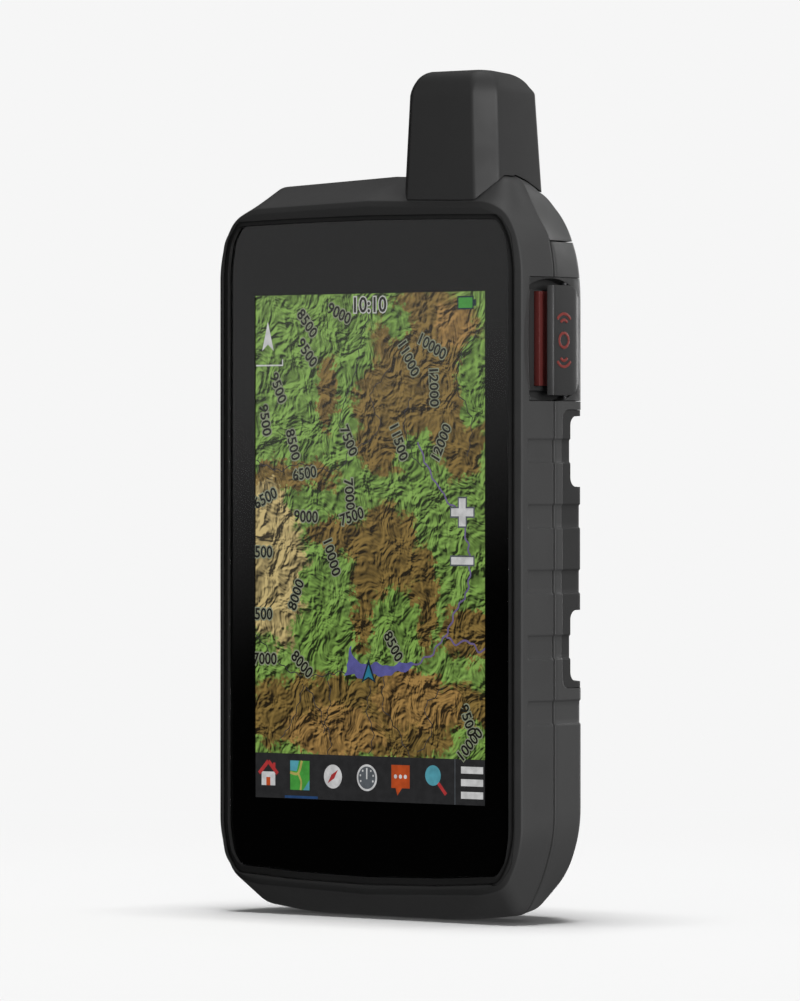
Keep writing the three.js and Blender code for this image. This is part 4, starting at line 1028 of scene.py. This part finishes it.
def icons():
    """Toolbar icons round the height zc, then the signs on the map."""
    white = lit("icon_white", (0.52, 0.52, 0.52))
    grey = lit("icon_grey", (0.08, 0.09, 0.1))
    red = lit("icon_red", (0.35, 0.03, 0.03))
    green = lit("icon_green", (0.05, 0.26, 0.04))
    blue = lit("icon_blue", (0.015, 0.05, 0.14))
    teal = lit("icon_teal", (0.07, 0.27, 0.33))
    yellow = lit("icon_yellow", (0.34, 0.3, 0.08))
    orange = lit("icon_orange", (0.4, 0.06, 0.012))
    dark = lit("icon_dark", (0.008, 0.02, 0.03))
    marker = lit("icon_marker", (0.02, 0.16, 0.24))
    zc = 30.4
    level, upper, top = 2.18, 2.15, 2.12
    xs = [-29.2, -20.0, -10.4, -0.6, 9.0, 19.0, 29.2]
    # house
    x = xs[0]
    flat_piece("icon_house", [box_shape(x, zc - 0.9, 4.0, 3.0)], level, white)
    flat_piece("icon_roof", stroke([(x - 2.7, zc + 0.2), (x, zc + 2.9), (x + 2.7, zc + 0.2)], 0.9)
               + [box_shape(x + 1.7, zc + 1.9, 0.7, 1.4)], upper, red)
    flat_piece("icon_doorway", [box_shape(x, zc - 1.5, 1.2, 1.8)], upper, orange)
    # map tile and its underline
    x = xs[1]
    flat_piece("icon_tile", [box_shape(x, zc, 5.6, 6.4)], level, green)
    main_road = [(x - 2.8, zc + 0.6), (x - 0.5, zc + 0.4), (x + 0.6, zc + 3.2)]
    side_road = [(x - 0.4, zc + 0.3), (x + 0.4, zc - 1.4), (x + 0.2, zc - 3.2)]
    roads = stroke(curve_points(main_road, 5), 0.6) + stroke(curve_points(side_road, 5), 0.5)
    flat_piece("icon_tile_road", roads, upper, yellow)
    flat_piece("icon_tile_sea", [[(x - 2.8, zc + 1.0), (x - 0.9, zc + 0.9), (x - 0.2, zc + 3.2), (x - 2.8, zc + 3.2)],
                                 [(x + 1.0, zc - 3.2), (x + 2.8, zc - 3.2), (x + 2.8, zc - 1.0)]], upper, teal)
    flat_piece("icon_underline", [box_shape(x + 0.4, SCREEN_Z0 + 0.35, 9.6, 0.55)], level, blue)
    # compass
    x = xs[2]
    flat_piece("icon_compass", [circle(x, zc, 2.6, 40)], level, white)
    needle = [(x - 1.5, zc - 1.5), (x + 0.4, zc - 0.4), (x + 1.5, zc + 1.5), (x - 0.4, zc + 0.4)]
    flat_piece("icon_needle", [needle], upper, red)
    # gauge
    x = xs[3]
    flat_piece("icon_gauge_rim", [circle(x, zc, 2.9, 40)], level, white)
    flat_piece("icon_gauge_face", [circle(x, zc, 2.45, 40)], upper, grey)
    ticks = [box_shape(x + 1.9 * math.cos(a), zc + 1.9 * math.sin(a), 0.4, 0.4)
             for a in np.linspace(-0.4, math.pi + 0.4, 7)]
    flat_piece("icon_gauge_hand", [box_shape(x, zc + 0.8, 0.35, 2.2)] + ticks, top, white)
    # bubble
    x = xs[4]
    tail = [(x - 1.4, zc - 2.0), (x + 0.4, zc - 2.0), (x - 0.9, zc - 3.6)]
    flat_piece("icon_bubble", [box_shape(x, zc + 0.5, 5.2, 5.0), tail], level, orange)
    flat_piece("icon_bubble_dots", [circle(x + 1.4 * k, zc + 0.5, 0.45, 16) for k in (-1, 0, 1)], upper, white)
    # magnifier
    x = xs[5]
    flat_piece("icon_lens", [circle(x - 0.8, zc + 1.0, 2.2, 40)], level, teal)
    flat_piece("icon_handle", stroke([(x + 0.7, zc - 0.6), (x + 2.9, zc - 3.0)], 0.8), upper, red)
    # divider and menu bars
    flat_piece("icon_menu", [box_shape(xs[6], zc + k * 2.7 - 0.3, 6.2, 1.5) for k in (-1, 0, 1)], level, white)
    divider = box_shape(24.4, (SCREEN_Z0 + TOOLBAR_Z) / 2, 0.18, TOOLBAR_Z - SCREEN_Z0)
    flat_piece("icon_divider", [divider], level, grey)
    # plus and minus on the map
    x = 26.5
    shapes = [(88.0, 6.2, 1.7), (88.0, 1.9, 6.0), (77.6, 6.2, 1.6)]
    flat_piece("zoom_edges", [box_shape(x, z, w + 0.7, h + 0.7) for z, w, h in shapes], upper, grey)
    flat_piece("zoom_marks", [box_shape(x, z, w, h) for z, w, h in shapes], top, white)
    # north arrow and scale bar
    arrow = [[(foot, 123.2), (-29.3, 124.6), (-29.3, 129.6)] for foot in (-31.0, -27.6)]
    flat_piece("north_arrow", arrow, top, white)
    flat_piece("scale_bar", [box_shape(-28.9, 120.0, 7.8, 0.32), box_shape(-25.0, 120.6, 0.32, 1.4)], top, white)
    # battery
    flat_piece("battery_edge", [box_shape(27.4, 132.9, 4.6, 2.9), box_shape(30.0, 132.9, 0.7, 1.4)], upper, dark)
    flat_piece("battery_icon", [box_shape(27.4, 132.9, 3.9, 2.2)], top, green)
    # position marker
    flat_piece("marker_edge", [[(-2.2, 51.0), (-0.1, 51.9), (2.0, 51.0), (-0.1, 56.2)]], upper, dark)
    flat_piece("marker_fill", [[(-1.5, 51.6), (-0.1, 52.3), (1.3, 51.6), (-0.1, 54.9)]], top, marker)


# ---------------------------------------------------------------- small pieces
def ring_plate():
    r0, r1 = 6.65, 8.15
    outer = prism("outer", circle(0, DRING_Z, r1, 72), "y", 30.6, 32.1)
    cut(outer, prism("inner", circle(0, DRING_Z, r0, 72), "y", 20, 50))
    combine(outer, "INTERSECT", slab(0, DRING_Z))
    combine(outer, "UNION", block("bar", -r1, r1, 30.6, 32.1, DRING_Z - 0.75, DRING_Z + 0.75))
    outer.name = outer.data.name = "folding_ring"
    return bevelled(outer, 0.45, 4, 40)


def door_screw():
    head = prism("door_screw", circle(0, DRING_Z, DRING_R, 96), "y", DRING_Y0, DRING_Y1)
    combine(head, "UNION", prism("shank", circle(0, DRING_Z, 2.2, 40), "y", 17.5, DRING_Y0 + 0.5))
    r0, r1 = 6.3, 8.5
    seat = prism("seat", circle(0, DRING_Z, r1, 72), "y", 30.25, 60)
    cut(seat, prism("core", circle(0, DRING_Z, r0, 72), "y", 20, 70))
    combine(seat, "INTERSECT", slab(0, DRING_Z))
    combine(seat, "UNION", block("bar", -r1, r1, 30.25, 60, DRING_Z - 1.1, DRING_Z + 1.1))
    cut(head, seat, block("nail", -3, 3, 30.6, 60, DRING_Z - DRING_R - 1, DRING_Z - 6.4))
    for i in range(24):
        t = 2 * math.pi * i / 24
        at = circle(DRING_R * 1.03 * math.cos(t), DRING_Z + DRING_R * 1.03 * math.sin(t), 0.5, 12)
        cut(head, prism("flute", at, "y", DRING_Y0 - 1, DRING_Y1 - 0.6))
    return head


def port_cap(name, width):
    """A rubber flap with a round hinge edge at the bottom and a finger tab at the top."""
    back, front = -1.7, -0.1
    r, half = (front - back) / 2, PORT_H / 2
    plate = prism(name, rounded(-width / 2, width / 2, r - half, half, [0, 0, 1, 1]), "y", back, front)
    edge = prism("edge", circle(front - r, r - half, r, 48), "x", -width / 2, width / 2)
    tab = prism("tab", rounded(-width * 0.2, width * 0.2, half - 1.7, half - 0.5, 0.5), "y", -0.6, 0.55)
    combine(plate, "UNION", edge, tab)
    return bevelled(plate, 0.18, 2, 40)


def battery():
    return bevelled(prism("battery_block", rounded(-26.5, 26.5, 42, 122, 2.0), "y", 13.5, 27.8), 0.9, 4, 40)


def cap_strip():
    """The liner that shows along the front of the emergency cap, with the web that holds it."""
    strip = block("sos_strip", 42.95, 44.4, 5.5, 6.7, STRIP_Z0, STRIP_Z1)
    web = block("web", 42.95, 43.15, 6, 8.4, STRIP_Z0, STRIP_Z1)
    seal = block("seal", 42.95, 45.4, 7.9, 11.4, STRIP_Z0, STRIP_Z1)
    combine(strip, "UNION", web, seal)
    return bevelled(strip, 0.08, 2)


def gasket():
    section = ((0.75, -1.4), (0.4, -0.3), (0.24, -0.03), (1.7, -0.03), (1.7, -1.4))
    loops = [ring(y, d, outline=GLASS_OUTLINE, radii=GLASS_R) for y, d in section]
    return loft("glass_gasket", loops, closed=True)


def build():
    dress(front_housing(), FRONT, nodes=["front_housing"])
    dress(rear_cap(), SHELL, nodes=["rear_housing"])
    dress(rear_floor(), SHELL)
    dress(parting_seal(), RUBBER)
    dress(battery_door(), SHELL, "battery_door", ["battery_door"])
    for side, word in ((1, "right"), (-1, "left")):
        pad = side_pad(side)
        pad.name = pad.data.name = f"grip_pad_{word}"
        dress(pad, BOOT, "battery_door", [f"side_pad_{word}"])
    dress(antenna_cover(), ANTENNA, nodes=["antenna_cover"])
    dress(sos_seat(), PLASTIC, nodes=["sos_bezel"])
    dress(sos_cap(), PLASTIC, "sos_cap", ["sos_cap"])
    dress(cap_marks(), MARK_RED, "sos_cap")
    dress(cap_strip(), RED, "sos_cap", ["sos_cap_seal"])
    button = prism("sos_push", bar_outline(KEY_Y, KEY_Z, KEY_W - 0.3, KEY_H - 0.3), "x", 40.4, 42.6)
    dress(bevelled(button, 0.35, 4, 40), RED, "sos_button", ["sos_button"])
    dress(glass(), glass_material(), nodes=["cover_glass"])
    dress(border(), PRINT)
    dress(gasket(), RUBBER, nodes=["lens_gasket"])
    display()
    dress(ring_plate(), STEEL, "d_ring", ["d_ring"])
    dress(door_screw(), STEEL, "d_ring_screw", ["d_ring_screw"])
    for name, (x, w) in PORTS.items():
        cap = on_slope(port_cap(name + "_flap", w), x, PORT_V)
        dress(cap, RUBBER, name, [name])
    dress(battery(), WRAP, nodes=["battery_pack"])
    key = prism("power_rocker", bar_outline(POWER_Y, POWER_Z, POWER_W, POWER_H), "x", -44.5, -40.6)
    dress(bevelled(key, 0.4, 3, 40), RUBBER, "power_key", ["power_key"])
    finish_cad_nodes()


def finish_cad_nodes():
    """Materials for the CAD nodes that show as they are."""
    looks = {
        "steel": STEEL, "aluminium": ALUMINIUM, "board": BOARD, "ceramic": CERAMIC, "brass": BRASS,
        "rubber": RUBBER, "plastic": PLASTIC, "red": RED, "display": DARK, "shell": SHELL, "battery": WRAP,
    }
    slots = {part["node"]: part["material_slot"] for part in frame["record"]["subparts"]}
    for name, node in frame["nodes"].items():
        if not node.hide_render:
            node.data.materials.clear()
            node.data.materials.append(BLACK_STEEL if name == "sos_cap_pin" else looks[slots[name]])


# ---------------------------------------------------------------- stage
def stage_plane(name, corners, material, **visible):
    mesh = bpy.data.meshes.new(name)
    mesh.from_pydata(corners, [], [tuple(range(len(corners)))])
    made = add(name, mesh)
    mesh.materials.append(material)
    for key, value in visible.items():
        setattr(made, key, value)
    return made


PALE = 0.922  # linear brightness of the floor and the backdrop
AMBIENT, REFLECT, SURROUND = 0.2, 0.66, 0.18
VIEW_TURN = math.radians(40.72)  # how far the camera stands round to the object's right
MIRROR = -VIEW_TURN  # azimuth that the glass mirrors towards the camera
FLOOR_ALBEDO, FLOOR_GLOW = 0.7, 0.03


def floor_material():
    """Pale floor that takes a soft shadow near the unit and fades to the backdrop's tone further out."""
    n = Nodes("floor")
    at = n.add("ShaderNodeTexCoord").outputs["Object"]
    away = n.ramp(n.vector("LENGTH", at), 0.12, 0.5)
    lit_part = n.add("ShaderNodeBsdfDiffuse")
    lit_part.inputs[0].default_value = (FLOOR_ALBEDO,) * 3 + (1,)
    glow = n.add("ShaderNodeEmission")
    glow.inputs[0].default_value = (1, 1, 1, 1)
    glow.inputs[1].default_value = FLOOR_GLOW
    near = n.add("ShaderNodeAddShader")
    n.link(lit_part.outputs[0], near.inputs[0])
    n.link(glow.outputs[0], near.inputs[1])
    far = n.add("ShaderNodeEmission")
    far.inputs[1].default_value = PALE
    blend_shader = n.add("ShaderNodeMixShader")
    n.link(away, blend_shader.inputs[0])
    n.link(near.outputs[0], blend_shader.inputs[1])
    n.link(far.outputs[0], blend_shader.inputs[2])
    n.link(blend_shader.outputs[0], n.out.inputs[0])
    return n.material


def area_light(name, azimuth, elevation, distance, width, height, power, target=(0, 0, 0.09)):
    light = bpy.data.lights.new(name, "AREA")
    light.shape, light.size, light.size_y, light.energy = "RECTANGLE", width, height, power
    made = add(name, light)
    a, e = math.radians(azimuth), math.radians(elevation)
    back = Vector((math.sin(a) * math.cos(e), -math.cos(a) * math.cos(e), math.sin(e)))
    made.location = Vector(target) + back * distance
    made.rotation_mode = "QUATERNION"
    made.rotation_quaternion = back.to_track_quat("Z", "Y")
    return made


def world_light():
    """Pale to the camera, AMBIENT to surfaces, and to reflections up to SURROUND away from the reflector."""
    world = bpy.data.worlds.new("studio")
    bpy.context.scene.world = world
    n = Nodes("studio", world, "ShaderNodeOutputWorld")
    path = n.add("ShaderNodeLightPath")
    direction = n.add("ShaderNodeTexCoord").outputs["Generated"]
    toward = n.vector("DOT_PRODUCT", direction, (math.sin(MIRROR), -math.cos(MIRROR), 0))
    mirrored = n.ramp(toward, -0.2, 0.45, SURROUND, 0.0, smooth=False)
    level = n.ramp(path.outputs["Is Glossy Ray"], 0.0, 1.0, AMBIENT, mirrored, smooth=False)
    mix = n.add("ShaderNodeMixShader")
    n.link(path.outputs["Is Camera Ray"], mix.inputs[0])
    for socket, strength in ((mix.inputs[1], level), (mix.inputs[2], PALE)):
        background = n.add("ShaderNodeBackground")
        background.inputs[0].default_value = (1, 1, 1, 1)
        n.feed(background.inputs[1], strength)
        n.link(background.outputs[0], socket)
    n.link(mix.outputs[0], n.out.inputs[0])


def stage():
    corners = [(-30, -30, 0), (30, -30, 0), (30, 30, 0), (-30, 30, 0)]
    floor = stage_plane("floor", corners, floor_material(), visible_diffuse=False, visible_glossy=False,
                        visible_transmission=False)
    floor.location.z = -0.00005
    world_light()
    key = area_light("key", 67, 7, 1.0, 0.5, 0.5, 8.5)
    fill = area_light("fill", 5, 10, 1.2, 0.6, 0.6, 2.1)
    fill.visible_glossy = False
    rim = area_light("rim", 176, 10, 1.0, 0.3, 0.6, 3.0)
    top = area_light("top", 200, 80, 1.0, 0.7, 0.7, 3.2)
    wash = area_light("floor wash", 0, 90, 3.0, 1.1, 1.1, 103.0, target=(0, 0, 0))
    spared = bpy.data.collections.new("not lit from the side")
    spared.objects.link(floor)
    spared.collection_objects[0].light_linking.link_state = "EXCLUDE"
    for light in (key, fill, rim, top):
        light.light_linking.receiver_collection = spared
    lit_only = bpy.data.collections.new("lit from above only")
    lit_only.objects.link(floor)
    wash.light_linking.receiver_collection = lit_only
    reflector()


def reflector():
    """A tall soft gradient to the front left that only reflections see. It mirrors in the cover glass."""
    n = Nodes("reflector")
    across = Vector((math.cos(MIRROR), math.sin(MIRROR), 0))
    at = n.add("ShaderNodeTexCoord").outputs["Object"]
    level = n.vector("DOT_PRODUCT", at, (-0.4 * across.x, -0.4 * across.y, 1.0))
    glow = n.add("ShaderNodeEmission")
    n.link(n.ramp(level, 0.02, 0.16, 0.0, REFLECT), glow.inputs[1])
    n.link(glow.outputs[0], n.out.inputs[0])
    middle = Vector((math.sin(MIRROR), -math.cos(MIRROR), 0)) * 1.5
    frame_corners = ((-0.3, -0.6), (0.3, -0.6), (0.3, 1.2), (-0.3, 1.2))
    corners = [middle + across * w + Vector((0, 0, h)) for w, h in frame_corners]
    stage_plane("reflector", corners, n.material, visible_camera=False, visible_diffuse=False, visible_shadow=False,
                visible_transmission=False)


def camera():
    """At the object's eye level, turned to its right, with a long lens."""
    made = add("camera", bpy.data.cameras.new("camera"))
    made.location = place(1027.4, -1182.0, 96.0)
    look = Vector((-math.sin(VIEW_TURN), math.cos(VIEW_TURN), 0))
    made.rotation_mode = "QUATERNION"
    made.rotation_quaternion = look.to_track_quat("-Z", "Y")
    made.data.lens, made.data.sensor_width = 260.2, 36.0
    made.data.shift_y = -0.0255
    made.data.clip_start, made.data.clip_end = 0.05, 200
    bpy.context.scene.camera = made


build()
stage()
camera()
bpy.context.scene.view_settings.view_transform = "Standard"
